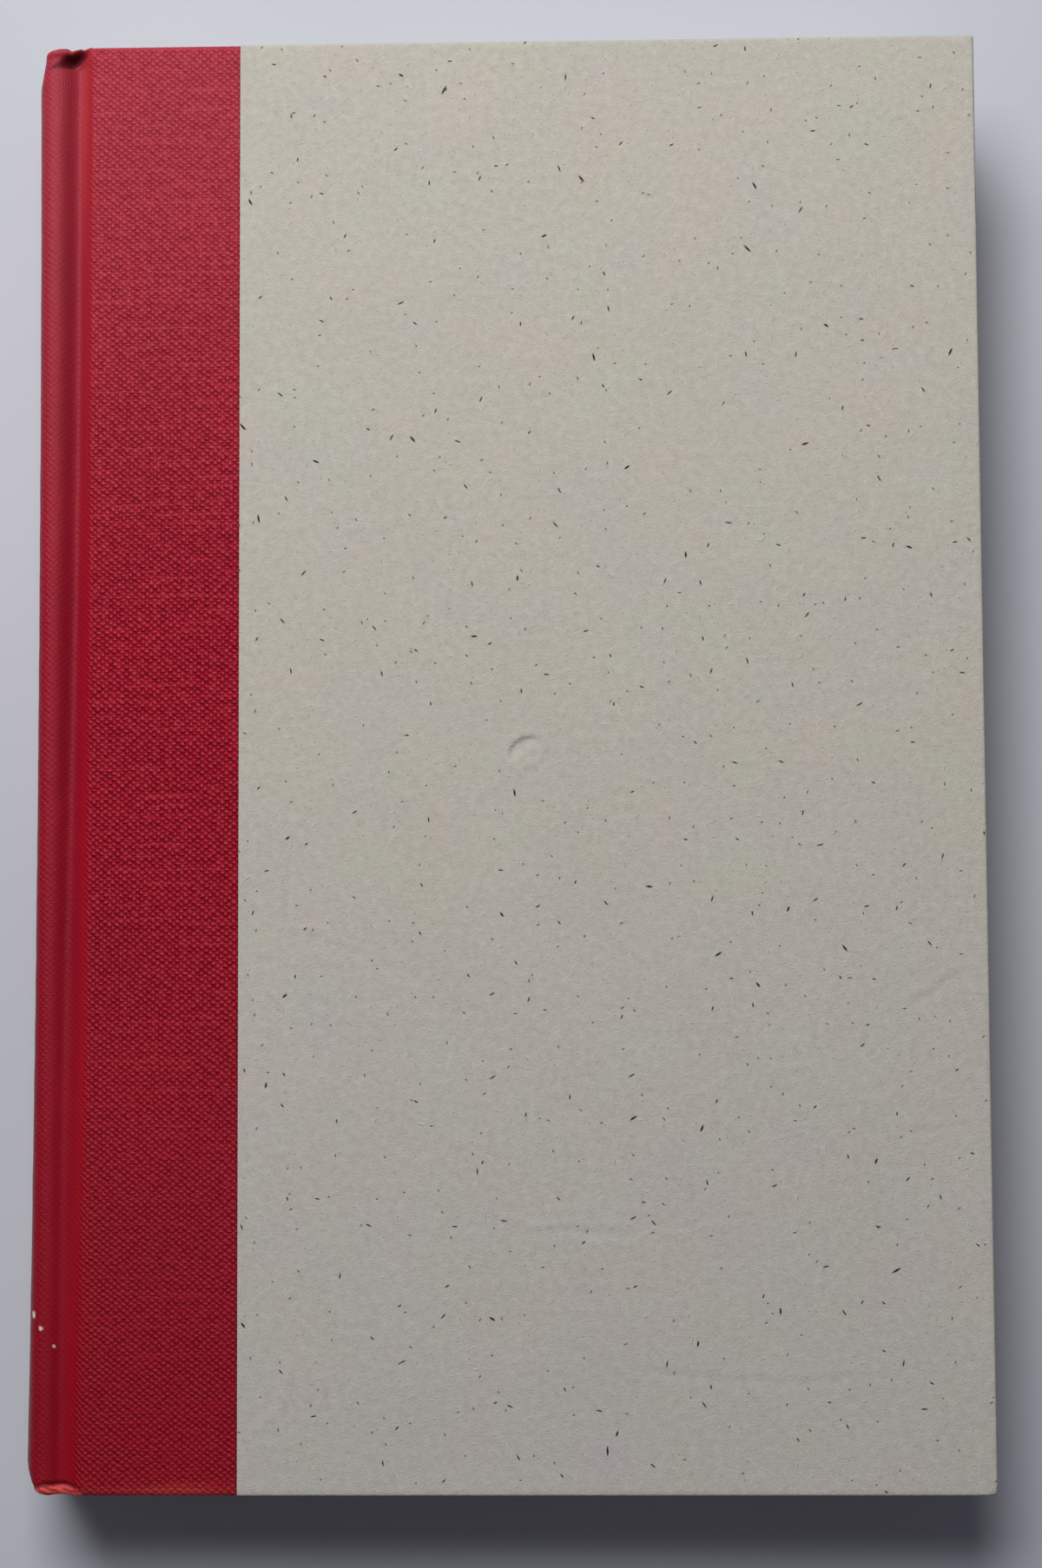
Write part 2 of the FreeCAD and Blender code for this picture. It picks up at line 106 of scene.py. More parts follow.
CREST_X = joint_low.x
CREST_TOP = spine_high.z
BOARD_EDGE = joint_high.x
CLOTH_END = paper_low.x
FORE_EDGE = paper_high.x
HALF_HEIGHT = paper_high.y
BOARD_BOTTOM = board_low.z
BOARD_TOP = board_high.z
COVERING = TOTAL - BOARD_TOP
SPINE_OUT = spine_low.x
LEAF_HALF = pages_high.y
print(f"total {TOTAL:.2f}, board edge {BOARD_EDGE:.2f}, crest {CREST_X:.2f} at {CREST_TOP:.2f} mm")

# %% [markdown]
# ## Camera
#
# The camera looks almost straight down from about an arm's length, a little nearer to the tail, so
# that the head of the book recedes slightly. The lens is given by how far the image plane lies from
# the eye in image widths, which turns to a focal length on a 36 mm sensor.

# %% Camera above the front cover
CAMERA_AT = (14.6, -37.2, 460.0)
CAMERA_TURN = (4.296, 1.565, -0.28)
IMAGE_WIDTH = 1200
EYE_TO_IMAGE = 3302 / IMAGE_WIDTH
SENSOR = 36.0

camera_data = bpy.data.cameras.new("camera")
camera_data.sensor_fit = "HORIZONTAL"
camera_data.sensor_width = SENSOR
camera_data.lens = EYE_TO_IMAGE * SENSOR
camera_data.clip_start = 0.01
camera = put("camera", camera_data, CAMERA_AT)
camera.rotation_euler = [math.radians(angle) for angle in CAMERA_TURN]
bpy.context.scene.camera = camera
bpy.context.scene.view_settings.view_transform = "Standard"
print(f"camera {CAMERA_AT[2]:.0f} mm up, lens {camera_data.lens:.1f} mm")

# %% [markdown]
# ## Helpers for colours and nodes
#
# Colours are written as sRGB hex, as a designer would read them off a swatch, and Blender's shaders
# want them linear. A node tree is easier to read when each node is one call, so add_node makes a node,
# sets its properties, and fills its inputs with numbers or with links from other nodes. The short
# functions after it stand for the nodes that come back most, and find their tree by what they link in.

# %% Helpers for colours and nodes
def linear(hex_colour):
    """An sRGB hex colour as linear RGBA."""
    channels = [int(hex_colour[at:at + 2], 16) / 255 for at in (1, 3, 5)]
    return [c / 12.92 if c <= 0.04045 else ((c + 0.055) / 1.055) ** 2.4 for c in channels] + [1.0]


def add_node(tree, kind, inputs=None, **settings):
    """Adds a node; inputs maps an input's name or number to a value or to another node's output."""
    node = tree.nodes.new(kind)
    for name, value in settings.items():
        setattr(node, name, value)
    for name, value in (inputs or {}).items():
        if isinstance(value, bpy.types.NodeSocket):
            tree.links.new(value, node.inputs[name])
        else:
            node.inputs[name].default_value = value
    return node


def made(tree, kind, inputs=None, **settings):
    """First output of a new node."""
    return add_node(tree, kind, inputs, **settings).outputs[0]


def tree_of(*values):
    """The tree that the linked values belong to."""
    return next(value.id_data for value in values if isinstance(value, bpy.types.NodeSocket))


def maths(operation, *values):
    return made(tree_of(*values), "ShaderNodeMath", dict(enumerate(values)), operation=operation)


times, plus, minus = [partial(maths, operation) for operation in ("MULTIPLY", "ADD", "SUBTRACT")]


def vectors(operation, *values):
    """Result of a Vector Math node. SCALE takes its factor as the second value."""
    given = dict(enumerate(values))
    if operation == "SCALE":
        given["Scale"] = given.pop(1)
    outputs = add_node(tree_of(*values), "ShaderNodeVectorMath", given, operation=operation).outputs
    return outputs["Value" if operation in ("DOT_PRODUCT", "LENGTH") else "Vector"]


def spread(value, low, high, to_low=0.0, to_high=1.0):
    """Maps low..high to to_low..to_high and holds what lies beyond at its ends."""
    return made(value.id_data, "ShaderNodeMapRange", {
        "Value": value, "From Min": low, "From Max": high, "To Min": to_low, "To Max": to_high})


def noise_of(place, scale, detail=2.0, flat=False, **more):
    """Outputs of a noise texture; a flat one reads only the first two coordinates."""
    return add_node(place.id_data, "ShaderNodeTexNoise",
                    {"Vector": place, "Scale": scale, "Detail": detail, **more},
                    noise_dimensions="2D" if flat else "3D").outputs


def mapped(place, scale=(1.0, 1.0, 1.0), move=(0.0, 0.0, 0.0)):
    return made(place.id_data, "ShaderNodeMapping", {"Vector": place, "Scale": scale, "Location": move})


def parts_of(vector):
    return add_node(vector.id_data, "ShaderNodeSeparateXYZ", {"Vector": vector}).outputs


def vector_of(**axes):
    return made(tree_of(*axes.values()), "ShaderNodeCombineXYZ", axes)


def mesh_mark(tree, name):
    """A value that the mesh stores for each point."""
    return add_node(tree, "ShaderNodeAttribute", attribute_name=name).outputs["Fac"]


def blend(amount, first, second):
    """Two colours mixed."""
    return add_node(first.id_data, "ShaderNodeMix", {0: amount, 6: first, 7: second},
                    data_type="RGBA").outputs[2]


def object_place(tree):
    return add_node(tree, "ShaderNodeTexCoord").outputs["Object"]


def start_material(name, roughness, specular=0.5):
    """A material with its tree and its shader."""
    material = bpy.data.materials.new(name)
    material.use_nodes = True
    tree = material.node_tree
    tree.nodes.clear()
    shader = add_node(tree, "ShaderNodeBsdfPrincipled", {"Roughness": roughness,
                                                         "Specular IOR Level": specular})
    output = add_node(tree, "ShaderNodeOutputMaterial", {"Surface": shader.outputs["BSDF"]})
    output.is_active_output = True
    return material, tree, shader


def dress(shader, colour, height, distance):
    """Links a colour and a relief of a height in millimetres to the shader."""
    tree = shader.id_data
    bump = made(tree, "ShaderNodeBump", {"Height": height, "Strength": 1.0, "Distance": distance * MM})
    tree.links.new(bump, shader.inputs["Normal"])
    tree.links.new(colour, shader.inputs["Base Color"])


def ramp(factor, *stops):
    """A colour ramp; each stop is a position and a hex colour."""
    node = add_node(factor.id_data, "ShaderNodeValToRGB", {"Fac": factor})
    elements = node.color_ramp.elements
    while len(elements) < len(stops):
        elements.new(0.5)
    for element, (position, colour) in zip(elements, stops):
        element.position = position
        element.color = linear(colour)
    return node.outputs["Color"]


# %% [markdown]
# ## Floor and light
#
# The book lies on a plain pale surface. One large window-like lamp stands beyond the head of the book
# and to the left, fairly high, so the shadows fall below the book and to its right with soft edges. A
# dim even world fills them, and past the floor's edge the camera alone sees a pale backdrop. The
# strengths add up so that a colour renders about as written.

# %% Floor
FLOOR_HALF = 2.0
floor_mesh = bpy.data.meshes.new("floor")
corners = [(x * FLOOR_HALF, y * FLOOR_HALF, 0) for x, y in ((-1, -1), (1, -1), (1, 1), (-1, 1))]
floor_mesh.from_pydata(corners, [], [(0, 1, 2, 3)])
floor = put("floor", floor_mesh)
table_paint, table_tree, table_shader = start_material("matt_painted_table", 0.9)
table_cloud = noise_of(object_place(table_tree), 9.0)["Fac"]
table_colour = ramp(table_cloud, (0.3, "#BCBFC7"), (0.7, "#C2C5CC"))
table_tree.links.new(table_colour, table_shader.inputs["Base Color"])
floor_mesh.materials.append(table_paint)

# %% Lamp and world
LAMP_AT = Vector((-130.0, 415.0, 600.0))
LAMP_AIM = Vector((0.0, 0.0, 10.0))
LAMP_WIDTH, LAMP_DEPTH = 400.0, 500.0
LAMP_WATTS = 5.85
lamp_data = bpy.data.lights.new("window_light", "AREA")
lamp_data.shape = "RECTANGLE"
lamp_data.size = LAMP_WIDTH * MM
lamp_data.size_y = LAMP_DEPTH * MM
lamp_data.energy = LAMP_WATTS
lamp = put("window_light", lamp_data, LAMP_AT)
lamp.rotation_euler = (LAMP_AIM - LAMP_AT).to_track_quat("-Z", "Y").to_euler()

WORLD_STRENGTH = 0.105
world = bpy.data.worlds.new("even_room_light")
world.use_nodes = True
room = world.node_tree
room.nodes.clear()
# the book gets the dim light, and a camera sees the pale backdrop behind the floor
dim, pale = [made(room, "ShaderNodeBackground", {"Color": linear(colour), "Strength": strength})
             for colour, strength in (("#E2DEF4", WORLD_STRENGTH), ("#D3D6DC", 1.0))]
by_camera = add_node(room, "ShaderNodeLightPath").outputs["Is Camera Ray"]
add_node(room, "ShaderNodeOutputWorld",
         {"Surface": made(room, "ShaderNodeMixShader", {0: by_camera, 1: dim, 2: pale})})
bpy.context.scene.world = world
print(f"lamp {LAMP_WATTS} W, world {WORLD_STRENGTH}")

# %% [markdown]
# ## Red book cloth
#
# Book cloth is cotton filled with starch and coloured, then pressed between rollers that emboss a
# grain. Here the grain is a linen one: knobs 1.23 mm apart in a row, with the next row half a step over
# and small pits between them. Rounded ridges run on both slants, and a knob stands where two of them
# cross. The cloth's UV map is written in millimetres along and across the cloth, so the grain follows it
# over the joint and round the spine. The starch gives the knobs a low satin gloss, while the pits stay
# dull; the colour is painted darker in the pits and lighter on the knobs, as shade and light on the grain.

# %% Book cloth material
KNOB_PITCH, ROW_PITCH = 1.23, 0.985
# scale of each wandering of the rows, and how far it goes in millimetres
GRAIN_WANDER = ((0.3, 0.5), (1.0, 0.22))
GRAIN_HEIGHT = 0.24
PIT_SHARPNESS = 1.3
# which way each set of ridges slants, and how much of its height it keeps between the knobs
RIDGES = ((1, 0.22), (-1, 0.0))
EVEN_DYE = 0.57
WRINKLE_PITCH = 0.46
# how much of each channel is left at the tail, where the cloth is darker and a deeper red
TAIL_DARK_SHARE = (0.71, 0.30, 0.45)
# share of the whitish painted sheen near the head
HEAD_SHEEN_SHARE = 0.028


def centred_noise(place, scale):
    """A noise colour with values about zero."""
    return vectors("SUBTRACT", noise_of(place, scale, 1.0, flat=True)["Color"], (0.5, 0.5, 0.5))


def grain_height(uv):
    """Height of the embossed grain, from 0 in the pits to about 1 on the knobs."""
    # the rows wander a little, as an embossed and pasted cloth does
    place = uv
    for scale, reach in GRAIN_WANDER:
        moved = vectors("SCALE", centred_noise(uv, scale), reach)
        place = vectors("ADD", place, moved)
    ridges = []
    for rise, joined in RIDGES:
        across = (math.pi / KNOB_PITCH, rise * math.pi / ROW_PITCH, 0.0)
        wave = maths("ABSOLUTE", maths("COSINE", vectors("DOT_PRODUCT", place, across)))
        ridges.append(spread(wave, 0.0, 1.0, joined))
    knobs = times(*ridges)
    sunk = maths("POWER", minus(1.0, knobs), PIT_SHARPNESS)
    # knobs are uneven in height, and here and there a thick thread fills a row of pits
    uneven = noise_of(uv, 0.9, flat=True)["Fac"]
    slub = noise_of(mapped(place, (0.06, 1.5, 1.0)), 0.9, 1.0, flat=True)["Fac"]
    sunk = times(sunk, spread(uneven, 0.3, 0.7, 0.55, 1.15))
    sunk = times(sunk, spread(slub, 0.60, 0.74, 1.0, 0.6))
    return minus(1.0, sunk)


def mix_in(colour, name, dye):
    """Mixes a dye into a colour as far as the mesh's attribute says."""
    return blend(mesh_mark(colour.id_data, name), colour, linear(dye))


def book_cloth():
    material, tree, shader = start_material("book_cloth_linen_grain", 0.6, 0.16)
    uv = made(tree, "ShaderNodeUVMap", uv_map="cloth_mm")
    along_cloth = parts_of(uv)
    # the grain is pressed flat on the bends, which an attribute of the mesh marks
    grain, left = grain_height(uv), mesh_mark(tree, "grain_left")
    fine = noise_of(uv, 5.0, 4.0, flat=True)["Fac"]
    height = maths("MULTIPLY_ADD", fine, 0.3, times(grain, left))
    # fine upright wrinkles under the head cap
    swayed = noise_of(mapped(uv, (1.0, 0.07, 1.0)), 0.8, flat=True)["Fac"]
    across = maths("MULTIPLY_ADD", swayed, 0.8, along_cloth["X"])
    wave = maths("SINE", times(across, 2 * math.pi / WRINKLE_PITCH))
    height = maths("MULTIPLY_ADD", wave, mesh_mark(tree, "wrinkled"), height)
    # painted shade darkens the pits, which are also duller, and painted light brightens the knobs; where
    # the grain is gone, the colour is even
    even = made(tree, "ShaderNodeMix", {0: left, 2: EVEN_DYE, 3: grain})
    dye = ramp(even, (0.0, "#800F22"), (0.5, "#9B132A"), (0.95, "#B61833"))
    cloud = noise_of(uv, 0.05, 4.0, flat=True)["Fac"]
    colour = vectors("SCALE", dye, spread(cloud, 0.3, 0.7, 0.95, 1.05))
    # brighter red on the joint's slope that faces the lamp: partly the smooth pressed cloth, partly painted
    # light
    colour = mix_in(colour, "lit_slope", "#AE1328")
    # the cloth is darker and a deeper red towards the tail, and a whitish painted sheen lies on it near the
    # head
    tailward = spread(along_cloth["Y"], 110.0, -110.0)
    colour = blend(tailward, colour, vectors("MULTIPLY", colour, TAIL_DARK_SHARE))
    # painted sheen: a whitish colour mixed in towards the head, standing in for the lamp's reflection
    head_sheen = spread(along_cloth["Y"], 20.0, 110.0, 0.0, HEAD_SHEEN_SHARE)
    colour = blend(head_sheen, colour, linear("#F0DCE0"))
    # painted darkening first, mostly shade in hollows and creases, then rubbed wear and white chips
    for name, shown in (("painted_dark", "#38060F"), ("rubbed", "#F25E54"), ("chipped", "#DEDAD4")):
        colour = mix_in(colour, name, shown)
    tree.links.new(spread(even, 0.1, 0.9, 0.7, 0.27), shader.inputs["Roughness"])
    dress(shader, colour, height, GRAIN_HEIGHT)
    return material


CLOTH = book_cloth()
print("cloth grain", KNOB_PITCH, "by", ROW_PITCH, "mm")

# %% [markdown]
# ## Flecked cover paper
#
# The sides are an uncoated paper made with some recycled fibre: a warm grey with a soft mottle, and
# several hundred dark specks and short fibres that lie at all angles. Each speck is the inside of a
# small turned ellipse: Voronoi cells give it a random centre, and their random colour its angle and
# length. Five layers with different cell sizes give many faint specks and a few strong ones.

# %% Cover paper material
def fleck_layer(place, cell, length, width, share):
    """Turned ellipses, one to a share of the Voronoi cells; sizes in mm. Returns 1 inside a fleck."""
    tree = place.id_data
    cells = add_node(tree, "ShaderNodeTexVoronoi", {"Vector": place, "Scale": 1 / cell},
                     voronoi_dimensions="2D").outputs
    away = vectors("SUBTRACT", place, cells["Position"])
    chance = add_node(tree, "ShaderNodeSeparateColor", {"Color": cells["Color"]}).outputs
    lain = made(tree, "ShaderNodeVectorRotate", {"Vector": away, "Angle": times(chance["Red"], math.pi)},
                rotation_type="Z_AXIS")
    # half lengths run from 1 / 2.6 to 1 / 1.4 of the layer's, and the edges are soft
    reach = spread(chance["Green"], 0.0, 1.0, 2.6 / length, 1.4 / length)
    distance = vectors("LENGTH", vectors("MULTIPLY", lain, vector_of(X=reach, Y=2 / width)))
    kept = maths("LESS_THAN", chance["Blue"], share)
    return times(spread(distance, 1.15, 0.6), kept)


FLECKS = (
    # cell, length, width, share of cells, strength, colour
    (2.4, 0.34, 0.24, 0.34, 0.38, "#6E675E"),
    (4.2, 0.50, 0.26, 0.42, 0.8, "#4A4039"),
    (7.0, 0.85, 0.28, 0.38, 0.95, "#372D28"),
    (13.0, 1.15, 0.36, 0.30, 1.0, "#231C18"),
    (17.0, 0.60, 0.26, 0.14, 0.60, "#8A4B45"),
)
TOOTH_HEIGHT = 0.136
FIBRE_SHARE = 0.9
TINT_SHARE = 0.09
# a cooler tint painted towards the tail, for the bluer light that falls there
COOL_LIGHT_TINT = (0.985, 0.995, 1.055)


def cover_paper():
    material, tree, shader = start_material("flecked_cover_paper", 0.86, 0.3)
    place = vectors("SCALE", object_place(tree), 1 / MM)
    along_paper = parts_of(place)
    mottle = noise_of(place, 0.8, 9.0, Roughness=0.75)["Fac"]
    colour = ramp(mottle, (0.3, "#B0AB9F"), (0.5, "#BBB6AA"), (0.7, "#C4C0B5"))
    # the pulp isn't dyed quite evenly: faint pink, blue and green patches; the cooler tail is painted
    # light, for the bluer room light there
    patches = noise_of(place, 0.07)["Color"]
    tint = vectors("MULTIPLY_ADD", patches, (TINT_SHARE,) * 3, (1 - TINT_SHARE / 2,) * 3)
    colour = vectors("MULTIPLY", colour, tint)
    toward_tail = spread(along_paper["Y"], 0.0, -110.0)
    colour = blend(toward_tail, colour, vectors("MULTIPLY", colour, COOL_LIGHT_TINT))
    # over the edges of the board the flecks go on as on a folded sheet
    below = minus(along_paper["Z"], TOTAL)
    flat = vectors("ADD", place, vector_of(X=below, Y=below))
    for number, (cell, length, width, share, strength, dye) in enumerate(FLECKS):
        moved = mapped(flat, move=(31.7 * number, 17.3 * number, 0.0))
        fleck = fleck_layer(moved, cell, length, width, share)
        colour = blend(times(fleck, strength), colour, linear(dye))
    # the rubbed corner shows the board's grey fibres, and the same grey along the edges is painted shade
    colour = mix_in(colour, "rubbed", "#8B8274")
    tooth = noise_of(place, 3.0, 5.0, Roughness=0.7)["Fac"]
    # loose fibres lie in the surface as short curled ridges
    curl = minus(noise_of(place, 0.8, 0.5, Distortion=0.3)["Fac"], 0.5)
    curl = spread(maths("ABSOLUTE", curl), 0.045, 0.0)
    loose = spread(noise_of(place, 0.8)["Fac"], 0.56, 0.66, 0.0, FIBRE_SHARE)
    dress(shader, colour, maths("MULTIPLY_ADD", curl, loose, tooth), TOOTH_HEIGHT)
    return material


COVER_PAPER = cover_paper()
print(len(FLECKS), "layers of flecks")

# %% [markdown]
# ## Making a mesh from rows of points
#
# Cloth and paper are sheets, so each is made as a grid of points: rows along the book's height and
# columns across it. sheet_faces turns such a grid into faces, and Solidify gives the sheet its real
# thickness on the hidden side, so that it is closed.

# %% Grid helpers
def sheet_faces(rows, columns, flip=False):
    """Quads of a grid of points, numbered row by row."""
    faces = []
    for row in range(rows - 1):
        for column in range(columns - 1):
            first = row * columns + column
            quad = (first, first + 1, first + columns + 1, first + columns)
            faces.append(quad[::-1] if flip else quad)
    return faces


def mesh_mm(name, points, faces):
    """A mesh from points in millimetres."""
    mesh = bpy.data.meshes.new(name)
    mesh.from_pydata([Vector(point) * MM for point in points], [], faces)
    return mesh


def new_object(name, mesh, material):
    mesh.materials.append(material)
    mesh.polygons.foreach_set("use_smooth", [True] * len(mesh.polygons))
    return put(name, mesh)


def store_points(mesh, name, values):
    """A value for each point of the mesh, which a material can read."""
    mesh.attributes.new(name, "FLOAT", "POINT").data.foreach_set("value", values)


CUT_EDGE_ANGLE = math.radians(50)


def apply_modifiers(piece):
    """The piece's mesh with its modifiers applied, smooth but for its cut edges, as a plain mesh."""
    graph = bpy.context.evaluated_depsgraph_get()
    mesh = bpy.data.meshes.new_from_object(piece.evaluated_get(graph), preserve_all_data_layers=True,
                                           depsgraph=graph)
    mesh.set_sharp_from_angle(angle=CUT_EDGE_ANGLE)
    piece.modifiers.clear()
    piece.data = mesh
    return piece


def thicken(piece, thickness, offset=-1.0):
    """Gives a sheet its thickness in millimetres, on its hidden side unless told otherwise."""
    wall = piece.modifiers.new("thickness", "SOLIDIFY")
    wall.thickness, wall.offset = thickness * MM, offset
    return apply_modifiers(piece)


def smoothstep(low, high, value):
    t = min(1.0, max(0.0, (value - low) / (high - low)))
    return t * t * (3 - 2 * t)


def bell(value, centre, width):
    """A smooth hump of height 1 about a centre."""
    return math.exp(-((value - centre) / width) ** 2)


def turned(angle):
    """A unit vector at an angle to the first axis."""
    return Vector((math.cos(angle), math.sin(angle)))


# one quarter of a rounded edge, in four steps
QUARTER = [math.pi / 2 * index / 4 for index in range(5)]


# %% [markdown]
# ## The cloth's path
#
# Seen from the head, the cloth lies flat on the board, dips into the pressed joint, rises to the crest
# and goes round the spine. Each column of the grid is one place on this path. Over the joint the depth
# is a smooth curve with three fixed levels: the board's face, the bottom of the joint and the crest. It
# is deep and close to the board at the head, and shallow and wide at the tail, where use has eased it.

# %% How deep the joint is pressed
CREST_DROP = TOTAL - CREST_TOP
JOINT_WIDTH = BOARD_EDGE - CREST_X
# how far from the board's edge the joint is deepest, and how deep, at the head and at the tail
HEAD_GROOVE, TAIL_GROOVE = (2.15, 2.05), (3.7, 1.15)
BEND_START = -0.35
CAP_FILL = 0.75


def joint_depth(x, y, eased=1.0):
    """Depth of the cloth's face below the board's face, between the board's edge and the crest."""
    toward_tail = smoothstep(55, -85, y) * eased
    bottom = HEAD_GROOVE[0] + (TAIL_GROOVE[0] - HEAD_GROOVE[0]) * toward_tail
    depth = HEAD_GROOVE[1] + (TAIL_GROOVE[1] - HEAD_GROOVE[1]) * toward_tail
    # the turned-in cloth of the head cap fills the joint up to near the board's face
    depth *= 1 - CAP_FILL * smoothstep(3.2, 0.3, HALF_HEIGHT - y)
    away = BOARD_EDGE - x
    if away <= bottom:
        return depth * smoothstep(BEND_START, bottom, away)
    share = min(1.0, (away - bottom) / (JOINT_WIDTH - bottom))
    # from the bottom the cloth climbs soon, then goes over the crest in a wide round
    return CREST_DROP + (depth - CREST_DROP) * (1 - share) ** 3 * (1 + 3 * share)


# %% The columns of the cloth
CREST_RADIUS = 2.0 + COVERING
FLAT_STEP, JOINT_STEP, SPINE_STEP = 1.0, 0.3, 0.6


def steps(start, end, size):
    """Even steps from start to end, without the last."""
    count = max(1, math.ceil(abs(end - start) / size))
    return [start + (end - start) * index / count for index in range(count)]


def spine_path():
    """Places and outward normals from the crest round to the middle of the spine."""
    crest = Vector((CREST_X, CREST_TOP - CREST_RADIUS))
    bulge = crest.x - SPINE_OUT
    rise = crest.y - MIDDLE
    radius = (rise ** 2 + bulge ** 2 - CREST_RADIUS ** 2) / (2 * (bulge - CREST_RADIUS))
    centre = Vector((SPINE_OUT + radius, MIDDLE))
    lean = math.pi - math.atan2(rise, centre.x - crest.x)
    arcs = [(crest, CREST_RADIUS, angle) for angle in steps(math.pi / 2, lean, JOINT_STEP / CREST_RADIUS)]
    arcs += [(centre, radius, angle) for angle in steps(lean, math.pi, SPINE_STEP / radius) + [math.pi]]
    return [(middle + size * turned(angle), turned(angle)) for middle, size, angle in arcs]


FLAT_COLUMNS = [CLOTH_END, CLOTH_END - 0.15] + steps(CLOTH_END - 0.3, BOARD_EDGE + 0.9, FLAT_STEP)
JOINT_COLUMNS = steps(BOARD_EDGE + 0.9, CREST_X, JOINT_STEP)
SPINE_COLUMNS = spine_path()


def joint_place(x, y, eased=1.0):
    """Place and outward normal of the cloth's face over the board and the joint."""
    near = 0.05
    slope = (joint_depth(x + near, y, eased) - joint_depth(x - near, y, eased)) / (2 * near)
    if x > BOARD_EDGE - BEND_START:
        slope = 0.0
    return Vector((x, TOTAL - joint_depth(x, y, eased))), Vector((slope, 1)).normalized()


print(len(FLAT_COLUMNS), "columns on the board,", len(JOINT_COLUMNS), "over the joint,",
      len(SPINE_COLUMNS), "round half the spine")

# %% [markdown]
# ## Cloth with its turned-in ends
#
# At head and tail the cloth turns over the end of the board, of the joint and of the spine's card
# inlay, and is pasted down inside. So each column of the grid runs along the inside, round the end,
# along the outside, round the other end and back inside. How deep it turns differs: the whole board,
# only the doubled cloth across the joint, and the inlay at the spine. Rows lie close together near the
# ends, where wear has crumpled the cloth.

# %% How deep the cloth turns in, and how far it reaches
TURN_IN = HALF_HEIGHT - box_mm("front_mull_flap")[1].y - 1.0
BOARD_WRAP = TOTAL - BOARD_BOTTOM + COVERING
JOINT_WRAP = 2 * COVERING + 0.02
SPINE_WRAP = 2 * COVERING + 0.5
FINE_ROWS, COARSE_ROWS, FINE_ZONE = 0.22, 0.9, 7.0
CHIPPED_ZONE = (-90.0, -83.0)
# a column this close to the board's edge still counts as lying on the board
BOARD_LEEWAY = 0.02


def wrap_depth(x):
    """Distance from the outer face to the turned-in face."""
    if x >= BOARD_EDGE - BOARD_LEEWAY:
        return BOARD_WRAP
    return JOINT_WRAP + (SPINE_WRAP - JOINT_WRAP) * smoothstep(CREST_X + 1.0, CREST_X - 1.0, x)


def end_profile(depth):
    """Rows round one end: how far inside the end, and what share of the depth."""
    radius = min(0.8, depth / 2)
    rows = [(radius - radius * math.sin(angle), radius - radius * math.cos(angle)) for angle in QUARTER]
    rows.append((0.0, depth / 2))
    rows += [(radius - radius * math.cos(angle), depth - radius + radius * math.sin(angle))
             for angle in QUARTER]
    rows += [(TURN_IN * share, depth) for share in (0.1, 0.25, 0.5, 0.75, 1.0)]
    return [(inside, deep / depth) for inside, deep in rows]


def outer_heights():
    """Heights of the outer rows, as shares of the reach: close together near both ends."""
    middle = HALF_HEIGHT - FINE_ZONE
    chips_low, chips_high = CHIPPED_ZONE
    heights = steps(-HALF_HEIGHT, -middle, FINE_ROWS) + steps(-middle, chips_low, COARSE_ROWS)
    heights += steps(chips_low, chips_high, FINE_ROWS) + steps(chips_high, middle, COARSE_ROWS)
    heights += steps(middle, HALF_HEIGHT, FINE_ROWS)
    return [height / HALF_HEIGHT for height in heights[1:]]


OUTER_SHARES = outer_heights()


def column_rows(depth):
    """Height and share of the depth for every row of one column."""
    end = end_profile(depth)
    reach = HALF_HEIGHT - end[0][0]
    tail = [(inside - HALF_HEIGHT, share) for inside, share in end[::-1]]
    head = [(HALF_HEIGHT - inside, share) for inside, share in end]
    return tail + [(reach * share, 0.0) for share in OUTER_SHARES] + head


print("turn-in", round(TURN_IN, 1), "mm,", len(column_rows(BOARD_WRAP)), "rows")

# %% [markdown]
# ## Wear on the cloth
#
# The book has been read. At the head the cap of the spine is drawn in and a pocket has been pushed in
# behind its thin lip. At the tail the corner is rounded and the fold is rubbed down to bright threads.
# These are moves of the points, in millimetres along the outward normal or along the height. Places
# are told by their distance from the board's edge, the head and the tail.

# %% Wear of the cloth, as moves of its points
# how far the end of the cloth falls short of the board's, by distance from the board's edge
HEAD_OUTLINE = ((0.0, 0.0), (0.9, 0.1), (1.4, 0.28), (1.9, 0.12), (2.7, 0.25), (3.25, 0.42), (4.1, 0.02),
                (4.85, 0.05), (5.9, 0.2), (6.8, 0.3), (7.6, 0.35), (8.2, 0.5), (9.8, 0.9))
TAIL_OUTLINE = ((0.0, 0.0), (1.5, 0.08), (2.9, 0.14), (5.7, 0.1), (6.6, 0.22), (7.4, 0.6),
                (8.0, 1.25), (8.6, 2.1), (9.2, 2.9), (9.8, 3.5))


def between(table, value):
    """Value of a table of pairs at a place between them."""
    for (start, low), (end, high) in zip(table, table[1:]):
        if value <= end:
            return low + (high - low) * smoothstep(start, end, value)
    return table[-1][1]


def soft_noise(x, y, scale, seed):
    return noise.noise(Vector((x / scale, y / scale, seed)))


def from_edges(x, y):
    """Distances from the edge of the board, from the head and from the tail."""
    return BOARD_EDGE - x, HALF_HEIGHT - y, HALF_HEIGHT + y


def end_move(x, y):
    """How far a row near the end moves inwards."""
    table = HEAD_OUTLINE if y > 0 else TAIL_OUTLINE
    drop = between(table, max(0.0, BOARD_EDGE - x)) + 0.05 * soft_noise(x, 0.0, 1.1, 7.7)
    return drop * smoothstep(HALF_HEIGHT - 4.5 - 1.2 * drop, HALF_HEIGHT - 0.2, abs(y))


POCKET_AT, POCKET_SIZE, POCKET_LEAN = (3.3, 1.75), (2.75, 0.92), math.radians(25)
POCKET_DEPTH = 1.25
# a shallow crease runs on from the pocket towards the spine
TRAIL_AWAY, TRAIL_FROM_HEAD, TRAIL_SLOPE = 6.0, 2.9, 0.4


